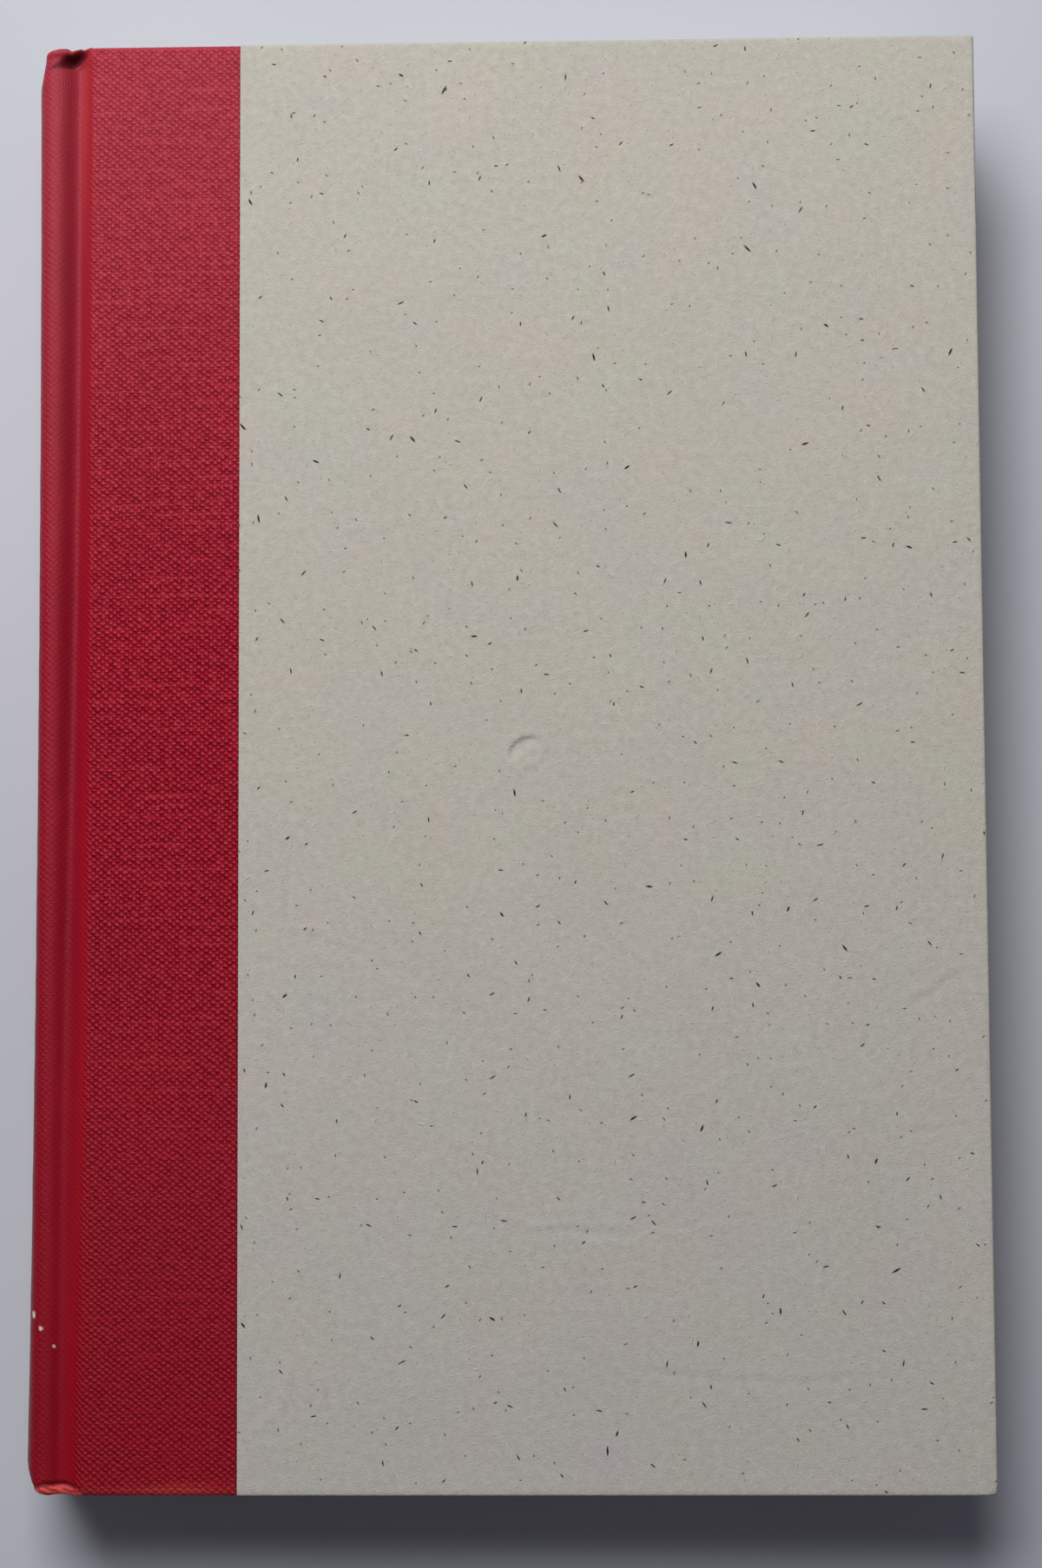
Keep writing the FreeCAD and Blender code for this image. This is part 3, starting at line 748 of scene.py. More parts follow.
def pocket(away, from_head):
    """Below 1 inside the pocket behind the head cap, an ellipse that leans up towards the board."""
    beside, below = away - POCKET_AT[0], from_head - POCKET_AT[1]
    along = beside * math.cos(POCKET_LEAN) + below * math.sin(POCKET_LEAN)
    across = below * math.cos(POCKET_LEAN) - beside * math.sin(POCKET_LEAN)
    return math.hypot(along / POCKET_SIZE[0], across / POCKET_SIZE[1])


def trail(away, from_head, length, width):
    """1 along the crease behind the pocket."""
    middle = TRAIL_FROM_HEAD + TRAIL_SLOPE * (away - TRAIL_AWAY)
    return bell(away, TRAIL_AWAY, length) * bell(from_head, middle, width)


def pocket_drop(x, y):
    """How far the cloth is pushed straight down into the pocket and its trailing crease."""
    away, from_head, _ = from_edges(x, y)
    drop = POCKET_DEPTH * smoothstep(1.3, 0.2, pocket(away, from_head))
    drop *= smoothstep(5.6, 3.4, away)
    return drop + 0.16 * trail(away, from_head, 0.9, 0.28)


def tail_lip(away):
    """Height of the rubbed fold above the tail's edge: a lens that tapers both ways."""
    return 1.4 * smoothstep(-1.8, 3.4, away) * smoothstep(8.4, 5.8, away)


def outward_move(x, y):
    """Outward move of the front's cloth over the joint and the spine."""
    away, from_head, from_tail = from_edges(x, y)
    # the cap's lip stands up on the head side of the pocket
    move = 0.30 * bell(away, 5.4, 1.5) * bell(from_head, 0.7, 0.5)
    # the rubbed fold at the tail curls up, with a crease above it
    lip = tail_lip(away)
    on_lip = smoothstep(0.0, 0.6, lip)
    move += 0.30 * bell(from_tail, lip * 0.45, 0.5) * on_lip
    move -= 0.26 * bell(from_tail, lip + 0.3, 0.25) * on_lip
    move += 0.05 * soft_noise(x * 2, y, 4.0, 3.1)
    return move * smoothstep(-0.3, 0.6, away)


# how far the spine is hollowed at half its height, and drawn in under the head cap
SPINE_BOW, CAP_DRAW = 0.6, 0.95


def spine_lean(x, y):
    """The round of the spine stands out more towards the tail, and is drawn in at the caps."""
    share = smoothstep(CREST_X + 0.3, SPINE_OUT, x)
    lean = 0.25 - 0.5 * (y + HALF_HEIGHT) / (2 * HALF_HEIGHT) - SPINE_BOW * (1 - (y / HALF_HEIGHT) ** 2)
    in_cap = min(1.0, max(0.0, (5.3 - HALF_HEIGHT + y) / 4.3))
    lean -= CAP_DRAW * in_cap + 0.5 * smoothstep(1.8, 0.0, HALF_HEIGHT + y)
    return lean * share


FOLD_RUB = 0.68
# distance of each chip from the board's edge, its height on the book, half its width and height
CHIPS = ((7.95, -84.3, 0.28, 0.55), (6.72, -86.3, 0.27, 0.28), (4.7, -89.0, 0.14, 0.14))


def rubbing(x, y, front):
    """Where the colour is rubbed off the outer face, from 0 to 1."""
    away, from_head, from_tail = from_edges(x, y)
    rub = 0.10 * bell(from_head, 0.0, 0.5) + 0.13 * bell(from_tail, 0.0, 1.2)
    if front:
        rub += 0.16 * bell(from_tail, 0.4, 1.2) * bell(away, -14.0, 6.0)
        # the fold at the tail is rubbed along its threads
        lip = tail_lip(away)
        streaks = soft_noise(x * 0.35, y * 1.9 + 0.5 * x, 0.8, 5.2)
        streaks = 0.1 + 0.9 * smoothstep(-0.25, 0.2, streaks)
        rub += FOLD_RUB * streaks * smoothstep(lip + 0.12, lip - 0.2, from_tail) * smoothstep(0.0, 0.5, lip)
        # and the upper joint faintly at its edge
        beside = smoothstep(1.0, 3.0, from_head) * smoothstep(40.0, 6.0, from_head)
        rub += 0.20 * bell(away, 1.35, 0.6) * beside
    return min(1.0, max(0.0, rub))


def painted_darkening(x, y):
    """Where the colour is painted darker: shade in the pocket, in the creases of both caps and along the
    paper, and a band along the bottom of the joint.
    """
    away, from_head, from_tail = from_edges(x, y)
    lip = tail_lip(away)
    # painted shade in the pocket behind the head cap and in the crease that trails from it
    darkness = 0.62 * smoothstep(1.35, 0.75, pocket(away, from_head))
    darkness += 0.5 * trail(away, from_head, 0.8, 0.25)
    # painted shade in the crease above the rubbed fold at the tail
    darkness += 0.85 * bell(from_tail, lip + 0.25, 0.22) * smoothstep(0.0, 0.4, lip)
    # a dark line wanders along the rubbed fold
    line = 0.55 * lip + 0.15 * soft_noise(x, 0, 1.3, 4.1)
    darkness += 0.8 * bell(from_tail, line, 0.13) * smoothstep(0.2, 0.8, lip)
    # darker along the bottom of the joint, down to the middle of the book
    darkness += 0.27 * bell(away, 3.6, 1.5) * smoothstep(-70, 20, y)
    # painted shade: a dark line on the cloth where the paper's edge meets it
    return min(1.0, darkness + 0.55 * smoothstep(CLOTH_END - 0.3, CLOTH_END, x))


def chipping(x, y):
    """Where the surface is chipped down to the cloth's white core."""
    return max(smoothstep(1.25, 0.75, math.hypot((BOARD_EDGE - x - away) / wide, (y - up) / high))
               for away, up, wide, high in CHIPS)


def wrinkling(x, y):
    """Where the cloth is drawn into fine upright wrinkles under the head cap."""
    away, from_head, _ = from_edges(x, y)
    return 0.055 * bell(away, 3.8, 1.3) * smoothstep(2.4, 4.5, from_head) * smoothstep(26.0, 8.0, from_head)


# %% Build one half of the cloth
MARKS = ("grain_left", "rubbed", "lit_slope", "painted_dark", "wrinkled", "chipped")
# the back's joint is less eased, and its ends less worn
BACK_EASED, BACK_SPARED = 0.45, 0.4
# pasted sheets stay this far clear of each other, so that no two faces coincide
PASTE_GAP = 0.01


def cloth_marks(x, y, front, outside):
    """What the material reads at one place of the cloth, in the order of MARKS."""
    low = smoothstep(-40, -105, y) if front else 0.5
    on_slope = smoothstep(BOARD_EDGE + 0.2 - 1.2 * low, BOARD_EDGE - 0.5 - 1.4 * low, x)
    on_crest = smoothstep(CREST_X + 1.0, CREST_X - 1.5, x)
    # the grain is pressed flat in the joint, and eased towards head and tail
    pressed = on_slope * (0.86 - 0.36 * on_crest)
    eased = 0.36 * smoothstep(30, 105, y) + 0.38 * smoothstep(0, -80, y)
    # where the joint's slope faces the lamp the red is brighter: partly the smooth pressed cloth, partly
    # painted light
    lit_slope = bell(x, BOARD_EDGE - 0.55 - 1.2 * low, 0.85 + 0.9 * low) * (0.95 - 0.15 * low)
    # the front's outside gets painted darkening, fine wrinkles and chips
    worn = [marking(x, y) if front and outside else 0.0 for marking in (painted_darkening, wrinkling, chipping)]
    return [(1.0 - pressed) * (1 - eased), rubbing(x, y, front) if outside else 0.0, lit_slope] + worn


def cloth_place(kind, face, normal, x, y, share, depth, seam_fade, front):
    """Place of one point of the cloth: on its face, round the end, or on the turned-in face."""
    if kind != "spine":
        face, normal = joint_place(x, y, 1.0 if front else BACK_EASED)
    out, moved_y = 0.0, y
    if x < BOARD_EDGE + 0.6:
        out = spine_lean(x, y)
        if front:
            out += outward_move(x, y) * seam_fade
        worn = 1.0 if front else 1.0 - BACK_SPARED * seam_fade
        moved_y = y - math.copysign(end_move(x, y), y) * worn
    outer = face + normal * out
    on_board = x >= BOARD_EDGE - BOARD_LEEWAY
    inner = Vector((x, BOARD_BOTTOM - COVERING)) if on_board else outer - normal * depth
    spot = outer.lerp(inner, share)
    if front and kind != "flat":
        spot.y -= pocket_drop(x, y) * (1 + 0.7 * share)
    return spot.x, moved_y, spot.y


def cloth_half(name, side):
    """The cloth from the paper's edge on one cover to the middle of the spine."""
    front = side == "front"
    columns = [("flat", x, None) for x in FLAT_COLUMNS] + [("joint", x, None) for x in JOINT_COLUMNS]
    columns += [("spine", place, normal) for place, normal in SPINE_COLUMNS]
    points, uvs, marks = [], [], []
    length, previous = 0.0, None
    for kind, place, normal in columns:
        middle_place = place if kind == "spine" else joint_place(place, 0.0)[0]
        if previous is not None:
            length += (middle_place - previous).length
        previous = middle_place
        x = middle_place.x
        depth = wrap_depth(x)
        rows = column_rows(depth)
        # what differs between the halves fades out towards their seam, so that they meet
        seam_fade = smoothstep(0.0, 3.0, abs(middle_place.y - MIDDLE))
        for y, share in rows:
            points.append(cloth_place(kind, place, normal, x, y, share, depth, seam_fade, front))
            uvs.append((length, y + math.copysign(depth * share, y)))
            marks.append(cloth_marks(x, y, front, outside=share < 0.6))
    if not front:
        # the grain runs on round the spine from one half to the other
        points = [(x, y, TOTAL - z) for x, y, z in points]
        uvs = [(2 * length - along, across) for along, across in uvs]
    mesh = mesh_mm(name, points, sheet_faces(len(columns), len(rows), flip=not front))
    layer = mesh.uv_layers.new(name="cloth_mm")
    for loop in mesh.loops:
        layer.data[loop.index].uv = uvs[loop.vertex_index]
    for mark, values in zip(MARKS, zip(*marks)):
        store_points(mesh, mark, values)
    piece = thicken(new_object(name, mesh, CLOTH), COVERING - PASTE_GAP)
    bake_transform(piece)
    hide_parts(f"{side}_cloth", f"{side}_joint_cloth")
    print(name, len(piece.data.polygons), "faces")
    return piece


front_cloth = cloth_half("front_book_cloth", "front")
cloth_half("back_book_cloth", "back")
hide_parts("spine_cloth")

# %% [markdown]
# ## The front cover's paper
#
# The paper side is one sheet that lies on the board, turns over its fore edge, head and tail, and is
# mitred at the two fore corners. Its face is a grid fine enough to carry the dents and creases that
# reading has left. Loops of points then run round the grid: over the rounded edge, down the side and
# under the board. At a corner the loop fans out, so the corner of the board stays round.

# %% Dents and creases, as lines of points in millimetres with a depth and a width
CREASES = (
    (((4.2, -72.2), (8.5, -71.8), (14.0, -72.1), (19.0, -72.4)), 0.10, 0.55),
    (((20.9, -92.7), (30.0, -93.6), (41.0, -94.5), (48.9, -94.4), (52.4, -93.1)), 0.08, 0.5),
    (((61.5, -38.0), (65.0, -36.4), (67.2, -34.2), (69.5, -33.6)), 0.11, 0.6),
    (((60.1, -57.4), (66.0, -56.6), (70.5, -56.2)), 0.05, 0.6),
    (((-31.7, -27.0), (-22.0, -30.0), (-11.9, -34.0)), 0.05, 0.6),
    (((-11.9, -26.0), (-12.1, -35.0)), 0.04, 0.5),
    (((-38.0, -102.0), (-33.7, -97.7), (-32.4, -92.0)), -0.10, 0.7),
    (((-58.0, -25.5), (-36.0, -27.0)), 0.03, 0.4),
)
DENT_AT, DENT_SIZE, DENT_DEPTH = (3.4, 0.7), (2.6, 1.8), 0.28
# cosine and sine of the dent's lean
DENT_TURN = (0.83, 0.56)
CREASE_REACH = 3


def crease_move(x, y):
    """Move of the paper by the creases: a shallow valley with a raised bank on its head side."""
    move = 0.0
    for points, depth, width in CREASES:
        for (ax, ay), (bx, by) in zip(points, points[1:]):
            if not (min(ax, bx) - CREASE_REACH < x < max(ax, bx) + CREASE_REACH
                    and min(ay, by) - CREASE_REACH < y < max(ay, by) + CREASE_REACH):
                continue
            length = math.hypot(bx - ax, by - ay)
            along = ((x - ax) * (bx - ax) + (y - ay) * (by - ay)) / length
            across = ((y - ay) * (bx - ax) - (x - ax) * (by - ay)) / length
            inside = smoothstep(-0.6, 0.6, along) * smoothstep(length + 0.6, length - 0.6, along)
            move -= inside * depth * (bell(across, 0.0, width) - 0.6 * bell(across, 1.5 * width, width))
    return move


def dent_move(x, y):
    """A crescent-shaped dent, as a corner of something hard leaves it."""
    beside, above = x - DENT_AT[0], y - DENT_AT[1]
    turned_x = beside * DENT_TURN[0] + above * DENT_TURN[1]
    turned_y = above * DENT_TURN[0] - beside * DENT_TURN[1]
    radius = math.hypot(turned_x / DENT_SIZE[0], turned_y / DENT_SIZE[1])
    steep = smoothstep(1.15, 0.75, radius) * smoothstep(-0.9, 1.1, turned_y)
    return -DENT_DEPTH * steep + 0.06 * bell(radius, 1.35, 0.3)


def board_unevenness(x, y):
    """The board under the paper isn't quite flat."""
    return 0.10 * soft_noise(x, y, 34.0, 2.4) + 0.035 * soft_noise(x, y, 9.0, 6.6)


# %% Build the paper
PAPER_STEP = 0.62
EDGE_ROUND = 0.42
WORN_CORNER = (FORE_EDGE, -HALF_HEIGHT)
FINE_REACH = 3.5


def finer_near(places, middle):
    """The same places, three times as close together round the dent."""
    finer = []
    for start, end in zip(places, places[1:]):
        parts = 3 if abs(start - middle) < FINE_REACH else 1
        finer += steps(start, end, (end - start) / parts)
    return finer + places[-1:]


def paper_face():
    """Face of the paper as a grid, from the cloth to the start of the rounded edges."""
    across = steps(CLOTH_END, FORE_EDGE - EDGE_ROUND, PAPER_STEP) + [FORE_EDGE - EDGE_ROUND]
    half = HALF_HEIGHT - EDGE_ROUND
    up = steps(-half, half, PAPER_STEP) + [half]
    across, up = finer_near(across, DENT_AT[0]), finer_near(up, DENT_AT[1])
    points = []
    for y in up:
        for x in across:
            calm = smoothstep(1.0, 5.0, min(x - CLOTH_END, FORE_EDGE - x, HALF_HEIGHT - abs(y)))
            move = board_unevenness(x, y) + dent_move(x, y) + crease_move(x, y)
            points.append((x, y, TOTAL + calm * move))
    return points, len(across), len(up)


MITRE_REACH = 2 * TURN_IN


def paper_rim(columns, rows):
    """Points along the grid's edge with their outward directions: tail, fore edge and back along the
    head. At the two corners the directions fan out."""
    rim = [(index, (0, -1)) for index in range(columns - 1)]
    rim += [(columns - 1, (math.sin(angle), -math.cos(angle))) for angle in QUARTER]
    rim += [(row * columns + columns - 1, (1, 0)) for row in range(1, rows - 1)]
    rim += [(rows * columns - 1, (math.cos(angle), math.sin(angle))) for angle in QUARTER]
    return rim + [((rows - 1) * columns + index, (0, 1)) for index in range(columns - 2, -1, -1)]


def edge_profile():
    """Steps from the face round the board's edge and under it: how far outwards, and how deep."""
    steps_out = [(EDGE_ROUND * math.sin(a), EDGE_ROUND * (1 - math.cos(a))) for a in QUARTER[1:]]
    steps_out.append((EDGE_ROUND, BOARD_WRAP / 2))
    steps_out += [(EDGE_ROUND * math.cos(a), BOARD_WRAP - EDGE_ROUND * (1 - math.sin(a))) for a in QUARTER]
    return steps_out + [(-(TURN_IN - EDGE_ROUND) * share, BOARD_WRAP) for share in (0.02, 0.5, 1.0)]


def rim_move(x, y, direction, outward, deep):
    """Sideways move of a point of the rim at one step of the profile."""
    if outward < 0:
        # under the board the corners are mitred: the rows draw together towards them
        inside_x, inside_y = FORE_EDGE - EDGE_ROUND - x, HALF_HEIGHT - EDGE_ROUND - abs(y)
        return (outward * max(0.0, 1 - inside_x / MITRE_REACH),
                outward * math.copysign(max(0.0, 1 - inside_y / MITRE_REACH), y))
    gap = math.hypot(x - WORN_CORNER[0], y - WORN_CORNER[1])
    fray = 0.0
    if gap < 4.0 and outward > 0:
        fray = -0.16 * smoothstep(1.6, 0.3, gap) * (1 + 0.8 * soft_noise(x, y, 0.7, deep))
    return direction[0] * outward + direction[0] * fray, direction[1] * outward + direction[1] * fray


def paper_mesh():
    """Points and faces of the whole sheet: the grid, and loops of points round its three free edges."""
    points, columns, rows = paper_face()
    faces = sheet_faces(rows, columns)
    rim = paper_rim(columns, rows)
    previous = [index for index, _ in rim]
    for outward, deep in edge_profile():
        loop = []
        for index, direction in rim:
            x, y, z = points[index]
            x_move, y_move = rim_move(x, y, direction, outward, deep)
            loop.append(len(points))
            points.append((x + x_move, y + y_move, z - deep if deep < 1 else TOTAL - deep))
        for (first, second), (third, fourth) in zip(zip(previous, previous[1:]), zip(loop, loop[1:])):
            faces.append((third, fourth, second) if first == second else (third, fourth, second, first))
        previous = loop
    return points, faces


def rub_and_shade_paper(mesh):
    """Marks the rubbed corner, and a painted shade along the edges."""
    rubbed = []
    for vertex in mesh.vertices:
        x, y, _ = vertex.co / MM
        corner = math.hypot(x - WORN_CORNER[0], y - WORN_CORNER[1])
        edge = min(FORE_EDGE - x, HALF_HEIGHT - abs(y))
        # the corner's grey is wear; along the edges the same colour is painted shade on the rounding
        rubbed.append(min(1.0, 0.25 * smoothstep(1.6, 0.4, corner) + 0.35 * smoothstep(0.2, 0.0, edge)))
    store_points(mesh, "rubbed", rubbed)


front_paper = new_object("front_paper_side", mesh_mm("front_paper_side", *paper_mesh()), COVER_PAPER)
thicken(front_paper, COVERING - PASTE_GAP)
rub_and_shade_paper(front_paper.data)
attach(front_paper, "front_cover")
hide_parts("front_cover_paper")
print("paper side:", len(front_paper.data.polygons), "faces")

# %% [markdown]
# ## Other papers and boards
#
# Leaves, endpapers, grey board, the mull and the kraft liner are all paper or cloth too, and mostly
# hidden. Each still gets its own colour, fibre and tooth.

# %% Plain papers
def plain_paper(name, dark, light, tooth_mm):
    material, tree, shader = start_material(name, 0.88, 0.3)
    place = mapped(object_place(tree), (1 / MM,) * 3)
    cloud = noise_of(place, 0.5, 6.0, Roughness=0.65)["Fac"]
    tooth = noise_of(place, 3.0, 5.0)["Fac"]
    dress(shader, ramp(cloud, (0.3, dark), (0.7, light)), tooth, tooth_mm)
    return material


ENDPAPER = plain_paper("wove_endpaper", "#DDD6C6", "#E6E0D2", 0.05)
GREY_BOARD = plain_paper("grey_board", "#7E776C", "#948D81", 0.12)
KRAFT = plain_paper("kraft_liner", "#8F7350", "#A88A64", 0.06)
MULL = plain_paper("starched_mull", "#CFC8B6", "#E2DCCB", 0.15)
LEAF_PAPER = plain_paper("trimmed_leaf_edges", "#D2C8B2", "#E4DCC9", 0.04)
for material, names in ((GREY_BOARD, ("front_board", "back_board")),
                        (MULL, ("front_mull_flap", "back_mull_flap", "mull", "headband", "tailband")),
                        (KRAFT, ("spine_liner",)), (COVER_PAPER, ("back_cover_paper",)),
                        (ENDPAPER, ("front_pastedown", "back_pastedown", "front_flyleaf", "back_flyleaf")),
                        (LEAF_PAPER, ("page_block",))):
    for name in names:
        nodes[name].data.materials.clear()
        nodes[name].data.materials.append(material)

# %% [markdown]
# ## The endpaper's hinge
#
# The endpaper crosses from the board to the leaves under the joint, and folds there when the cover
# opens. A strip of paper with enough columns to bend takes its place.

# %% Joint linings
LINING_STEP, LINING_ROWS, LINING_FLAT, LINING_THICKNESS = 0.4, 6.0, 2.5, 0.3


def joint_lining(side):
    """A strip that is level beside the board and then climbs over the shoulder of the leaves."""
    low, high = box_mm("front_joint_lining")
    across = steps(low.x, high.x, LINING_STEP) + [high.x]
    up = steps(low.y, high.y, LINING_ROWS) + [high.y]
    level = low.z + LINING_THICKNESS / 2
    climb = (high.z - low.z - LINING_THICKNESS) / (high.x - LINING_FLAT - low.x)
    points = [(x, y, level + climb * max(0.0, high.x - LINING_FLAT - x)) for y in up for x in across]
    if side == "back":
        points = [(x, y, TOTAL - z) for x, y, z in points]
    name = f"{side}_endpaper_hinge"
    strip = mesh_mm(name, points, sheet_faces(len(up), len(across), flip=side == "back"))
    piece = thicken(new_object(name, strip, ENDPAPER), LINING_THICKNESS, offset=0.0)
    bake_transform(piece)
    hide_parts(f"{side}_joint_lining")
    print(piece.name, f"{high.x - low.x:.1f} mm wide")


for side in ("front", "back"):
    joint_lining(side)

# %% [markdown]
# ## The card inside the spine
#
# A strip of card stiffens the cloth along the spine. It follows the round, lies just inside the cloth,
# and stops short of the drawn-in caps at head and tail.

# %% Spine card
CARD_THICKNESS, CARD_ROWS = 0.5, 3.0
CARD_HALF = HALF_HEIGHT - 6.5


def spine_card():
    half = [(place, normal) for place, normal in SPINE_COLUMNS if place.x < CREST_X - 0.6]
    full = half + [(Vector((p.x, TOTAL - p.y)), Vector((n.x, -n.y))) for p, n in half[-2::-1]]
    heights = steps(-CARD_HALF, CARD_HALF, CARD_ROWS) + [CARD_HALF]
    points = []
    for place, normal in full:
        for y in heights:
            spot = place + normal * (spine_lean(place.x, y) - COVERING - PASTE_GAP)
            points.append((spot.x, y, spot.y))
    mesh = mesh_mm("spine_card", points, sheet_faces(len(full), len(heights)))
    return thicken(new_object("spine_card", mesh, GREY_BOARD), CARD_THICKNESS)


card = spine_card()
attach(card, "text_block")
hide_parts("spine_inlay")

# %% [markdown]
# ## The leaves
#
# The text block is a stack of leaves that keep their length, so the rounded spine gives a hollow fore
# edge. Each leaf is one thin sheet: it starts on the round of the spine, bends down from the shoulder
# and runs flat to the fore edge. Geometry Nodes repeat it: a box is copied for every leaf, and its points
# are placed by the same few sizes as the solid. Small random differences keep the edges from looking
# like a printed pattern.

# %% Sizes of the leaf stack, read from the model
LEAF_COUNT = 168
FORE_HOLLOW = 2.0
# under the lining come a gap and the flyleaf, and then the leaves
LEAF_GAP, FLYLEAF = 0.1, 0.15
LEAF_TOP = lining_low.z - LEAF_GAP - FLYLEAF
LEAF_BOTTOM = TOTAL - LEAF_TOP
BLOCK_HALF = (LEAF_TOP - LEAF_BOTTOM) / 2
SHOULDER_Z = pages_high.z - MIDDLE
BLOCK_SPINE = pages_low.x
LEAF_EDGE_X = pages_high.x
BEND_X = BOARD_EDGE - 2.6
print(f"leaves {LEAF_BOTTOM:.2f} to {LEAF_TOP:.2f} mm, shoulders {SHOULDER_Z:.2f} mm from the middle")


def block_round():
    """Radius of the round spine of the block, through its crown and its shoulders."""
    for radius_step in range(2000):
        radius = 20 + radius_step * 0.01
        tip_x = BLOCK_SPINE + radius - math.sqrt(radius ** 2 - SHOULDER_Z ** 2)
        if abs(tip_x - SHOULDER_X) < 0.006:
            return radius
    return 28.0


block_points = [vertex.co for vertex in nodes["page_block"].data.vertices]
block_top = max(point.z for point in block_points)
SHOULDER_X = min(point.x for point in block_points if point.z > block_top - 1e-5) / MM
BLOCK_RADIUS = block_round()
print(f"shoulder at {SHOULDER_X:.2f}, radius of the round {BLOCK_RADIUS:.2f} mm")


# %% The leaf tree
def start_group(name, **sockets):
    """An empty Geometry Nodes tree, with inputs listed by kind. Returns it and its inputs."""
    tree = bpy.data.node_groups.new(name, "GeometryNodeTree")
    tree.interface.new_socket("Geometry", in_out="OUTPUT", socket_type="NodeSocketGeometry")
    for kind, names in sockets.items():
        for socket in names:
            tree.interface.new_socket(socket, in_out="INPUT", socket_type="NodeSocket" + kind)
    return tree, add_node(tree, "NodeGroupInput").outputs


def copies_on(tree, points, piece, name, value, **more):
    """Copies of a piece on points, as plain geometry, and the value that each copy was given."""
    copies = made(tree, "GeometryNodeInstanceOnPoints", {"Points": points, "Instance": piece, **more})
    kept = made(tree, "GeometryNodeStoreNamedAttribute", {"Geometry": copies, "Name": name, "Value": value},
                data_type="FLOAT", domain="INSTANCE")
    real = made(tree, "GeometryNodeRealizeInstances", {"Geometry": kept})
    return real, made(tree, "GeometryNodeInputNamedAttribute", {"Name": name}, data_type="FLOAT")


LEAF_SEEDS, LEAF_CROWDING = (3, 11, 23), 2.2


def leaf_tree():
    """Geometry Nodes: a stack of thin bent sheets. Sizes in metres."""
    tree, given = start_group(
        "stacked_leaves", Int=("Leaves",), Material=("Material",),
        Float=("Half Height", "Half Block", "Half Shoulder", "Round Radius", "Crown X", "Bend X", "Fore X",
               "Fore Hollow", "Middle Z", "Leaf Thickness", "Unevenness"))
    # one point for each leaf, and on each a box of a few cuts along X, so that it can bend
    line = made(tree, "GeometryNodeMeshLine", {"Count": given["Leaves"], "Offset": (0.0, 0.0, 0.0)})
    leaf = made(tree, "GeometryNodeMeshCube", {"Size": (1.0, 1.0, 1.0), "Vertices X": 8,
                                               "Vertices Y": 2, "Vertices Z": 2})
    real, number = copies_on(tree, line, leaf, "leaf", made(tree, "GeometryNodeInputIndex"))
    # from -1 at the back to 1 at the front
    share = maths("MULTIPLY_ADD", maths("DIVIDE", number, minus(given["Leaves"], 1.0)), 2.0, -1.0)
    rough = []
    for seed in LEAF_SEEDS:
        random = add_node(tree, "FunctionNodeRandomValue", {"ID": number, "Seed": seed}, data_type="FLOAT")
        rough.append(times(minus(random.outputs[1], 0.5), given["Unevenness"]))
    place = parts_of(made(tree, "GeometryNodeInputPosition"))
    # spine end of this leaf on the round, fore end in the hollow
    radius, spine_z = given["Round Radius"], times(share, given["Half Shoulder"])
    chord = maths("SQRT", minus(times(radius, radius), times(spine_z, spine_z)))
    spine_x = plus(given["Crown X"], minus(radius, chord))
    hollow = times(minus(1.0, times(share, share)), given["Fore Hollow"])
    fore_x = plus(minus(given["Fore X"], hollow), rough[0])
    # points crowd towards the spine, where the leaf bends
    run = maths("POWER", plus(place["X"], 0.5), LEAF_CROWDING)
    x = maths("MULTIPLY_ADD", run, minus(fore_x, spine_x), spine_x)
    flare = spread(x, spine_x, given["Bend X"])
    flat_z = times(share, given["Half Block"])
    lift = times(minus(spine_z, flat_z), minus(1.0, flare))
    layer = plus(flat_z, lift)
    z = plus(maths("MULTIPLY_ADD", place["Z"], given["Leaf Thickness"], layer), given["Middle Z"])
    reach = times(plus(given["Half Height"], rough[1]), 2.0)
    y = maths("MULTIPLY_ADD", place["Y"], reach, rough[2])
    moved = made(tree, "GeometryNodeSetPosition", {"Geometry": real, "Position": vector_of(X=x, Y=y, Z=z)})
    add_node(tree, "NodeGroupOutput", {0: made(tree, "GeometryNodeSetMaterial",
                                               {"Geometry": moved, "Material": given["Material"]})})
    return tree


def from_tree(name, tree, settings):
    """A plain mesh from a Geometry Nodes tree and its named inputs."""
    piece = put(name, bpy.data.meshes.new(name))
    modifier = piece.modifiers.new("make", "NODES")
    modifier.node_group = tree
    for socket in tree.interface.items_tree:
        if socket.in_out == "INPUT":
            modifier[socket.identifier] = settings[socket.name]
    return apply_modifiers(piece)


# %% Build the leaves
leaf_pitch = 2 * BLOCK_HALF / LEAF_COUNT
LEAF_INSET, LEAF_UNEVENNESS, LEAF_FILL = 0.06, 0.10, 0.80
leaves = from_tree("leaves", leaf_tree(), {
    "Leaves": LEAF_COUNT, "Half Height": (LEAF_HALF - LEAF_INSET) * MM,
    "Half Block": (BLOCK_HALF - leaf_pitch / 2) * MM, "Half Shoulder": (SHOULDER_Z - leaf_pitch / 2) * MM,
    "Round Radius": BLOCK_RADIUS * MM, "Crown X": (BLOCK_SPINE + 0.02) * MM, "Bend X": BEND_X * MM,
    "Fore X": (LEAF_EDGE_X - LEAF_INSET) * MM, "Fore Hollow": FORE_HOLLOW * MM, "Middle Z": MIDDLE * MM,
    "Leaf Thickness": leaf_pitch * LEAF_FILL * MM, "Unevenness": LEAF_UNEVENNESS * MM,
    "Material": LEAF_PAPER})
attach(leaves, "text_block")
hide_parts("page_block")
print(LEAF_COUNT, "leaves,", len(leaves.data.polygons), "faces")

# %% [markdown]
# ## Endbands
#
# A stuck-on endband is a strip with a bead of coloured thread along its edge. The bead follows the round
# of the spine and covers the ends of the leaves. Geometry Nodes lay stitches side by side on an arc, in
# turn red and natural, each one a small torus-like loop over the core.

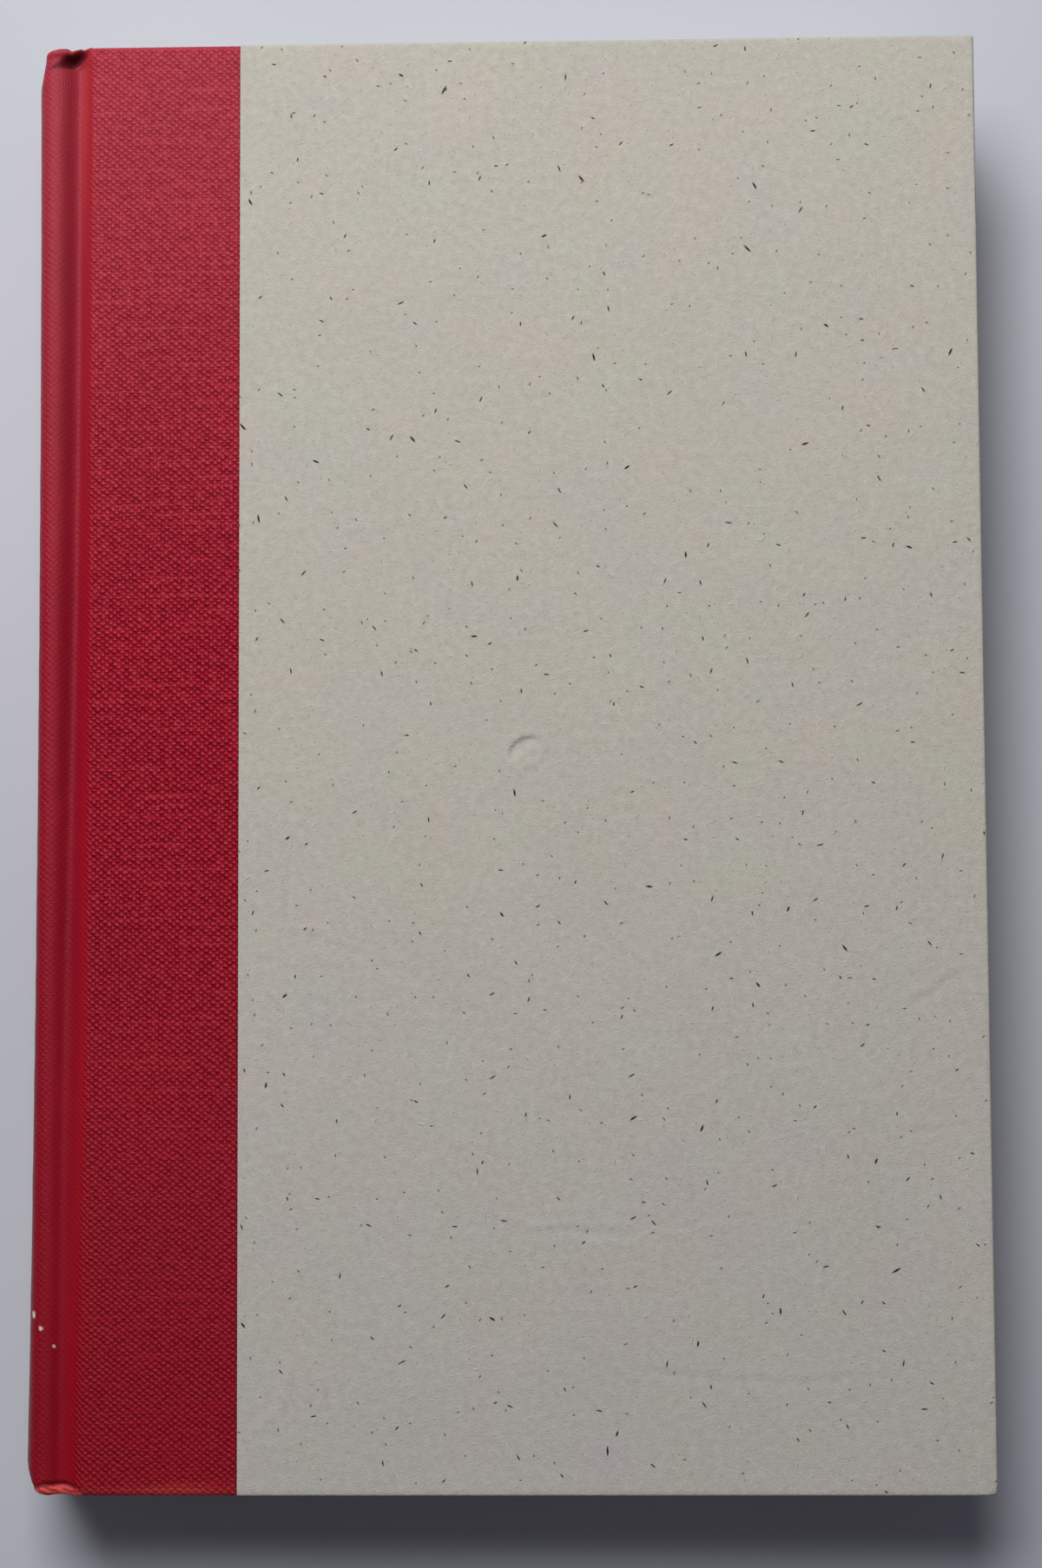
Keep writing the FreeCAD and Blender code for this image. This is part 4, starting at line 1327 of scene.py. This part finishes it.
# %% Endband materials
def thread(name, dark, light):
    material, tree, shader = start_material(name, 0.55, 0.4)
    fibre = noise_of(mapped(object_place(tree), (4 / MM, 4 / MM, 16 / MM)), 1.0, 3.0)["Fac"]
    dress(shader, ramp(fibre, (0.3, dark), (0.7, light)), fibre, 0.05)
    return material


RED_THREAD = thread("red_cotton_thread", "#8C1220", "#A81E2E")
NATURAL_THREAD = thread("natural_cotton_thread", "#D8CFBC", "#E8E1D2")


# %% The stitch tree
def stitch_tree():
    """Geometry Nodes: rings of thread along an arc, red and natural in turn."""
    tree, given = start_group(
        "endband_stitches", Int=("Stitches",), Material=("Red", "Natural"),
        Float=("Arc Radius", "Half Angle", "Centre X", "Height Y", "Middle Z", "Bead Radius",
               "Thread Radius"))
    ring, section = [made(tree, "GeometryNodeCurvePrimitiveCircle",
                          {"Resolution": count, "Radius": given[name]})
                     for name, count in (("Bead Radius", 14), ("Thread Radius", 7))]
    loop = made(tree, "GeometryNodeCurveToMesh", {"Curve": ring, "Profile Curve": section})
    line = made(tree, "GeometryNodeMeshLine", {"Count": given["Stitches"]})
    index = made(tree, "GeometryNodeInputIndex")
    share = maths("DIVIDE", index, minus(given["Stitches"], 1.0))
    angle = times(maths("MULTIPLY_ADD", share, 2.0, -1.0), given["Half Angle"])
    across = times(maths("COSINE", angle), given["Arc Radius"])
    up = times(maths("SINE", angle), given["Arc Radius"])
    spot = vector_of(X=minus(given["Centre X"], across), Y=given["Height Y"],
                     Z=plus(given["Middle Z"], up))
    placed = made(tree, "GeometryNodeSetPosition", {"Geometry": line, "Position": spot})
    odd = maths("MODULO", maths("FLOOR", maths("DIVIDE", index, 2.0)), 2.0)
    real, is_odd = copies_on(tree, placed, loop, "odd", odd, Rotation=vector_of(Y=angle))
    red = made(tree, "GeometryNodeSetMaterial", {"Geometry": real, "Material": given["Red"]})
    both = made(tree, "GeometryNodeSetMaterial",
                {"Geometry": red, "Selection": is_odd, "Material": given["Natural"]})
    add_node(tree, "NodeGroupOutput", {0: both})
    return tree


# %% Build both endbands' stitches
BEAD, THREAD_RADIUS, STITCH_PITCH = 0.9, 0.15, 0.27
ARC_RADIUS = BLOCK_RADIUS + 0.05 + 0.2 - BEAD
STITCHES = stitch_tree()
for end in ("head", "tail"):
    band_low, band_high = box_mm(end + "band")
    half_angle = math.asin(min(1.0, (band_high.z - MIDDLE - 0.3) / ARC_RADIUS))
    bead_y = band_high.y - BEAD if end == "head" else band_low.y + BEAD
    stitches = from_tree(end + "band_stitches", STITCHES, {
        "Stitches": int(2 * half_angle * ARC_RADIUS / STITCH_PITCH), "Arc Radius": ARC_RADIUS * MM,
        "Half Angle": half_angle, "Centre X": (BLOCK_SPINE + BLOCK_RADIUS) * MM, "Height Y": bead_y * MM,
        "Middle Z": MIDDLE * MM, "Bead Radius": (BEAD - 0.02) * MM, "Thread Radius": THREAD_RADIUS * MM,
        "Red": RED_THREAD, "Natural": NATURAL_THREAD})
    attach(stitches, "text_block")
    print(end, "stitches:", len(stitches.data.polygons), "faces")
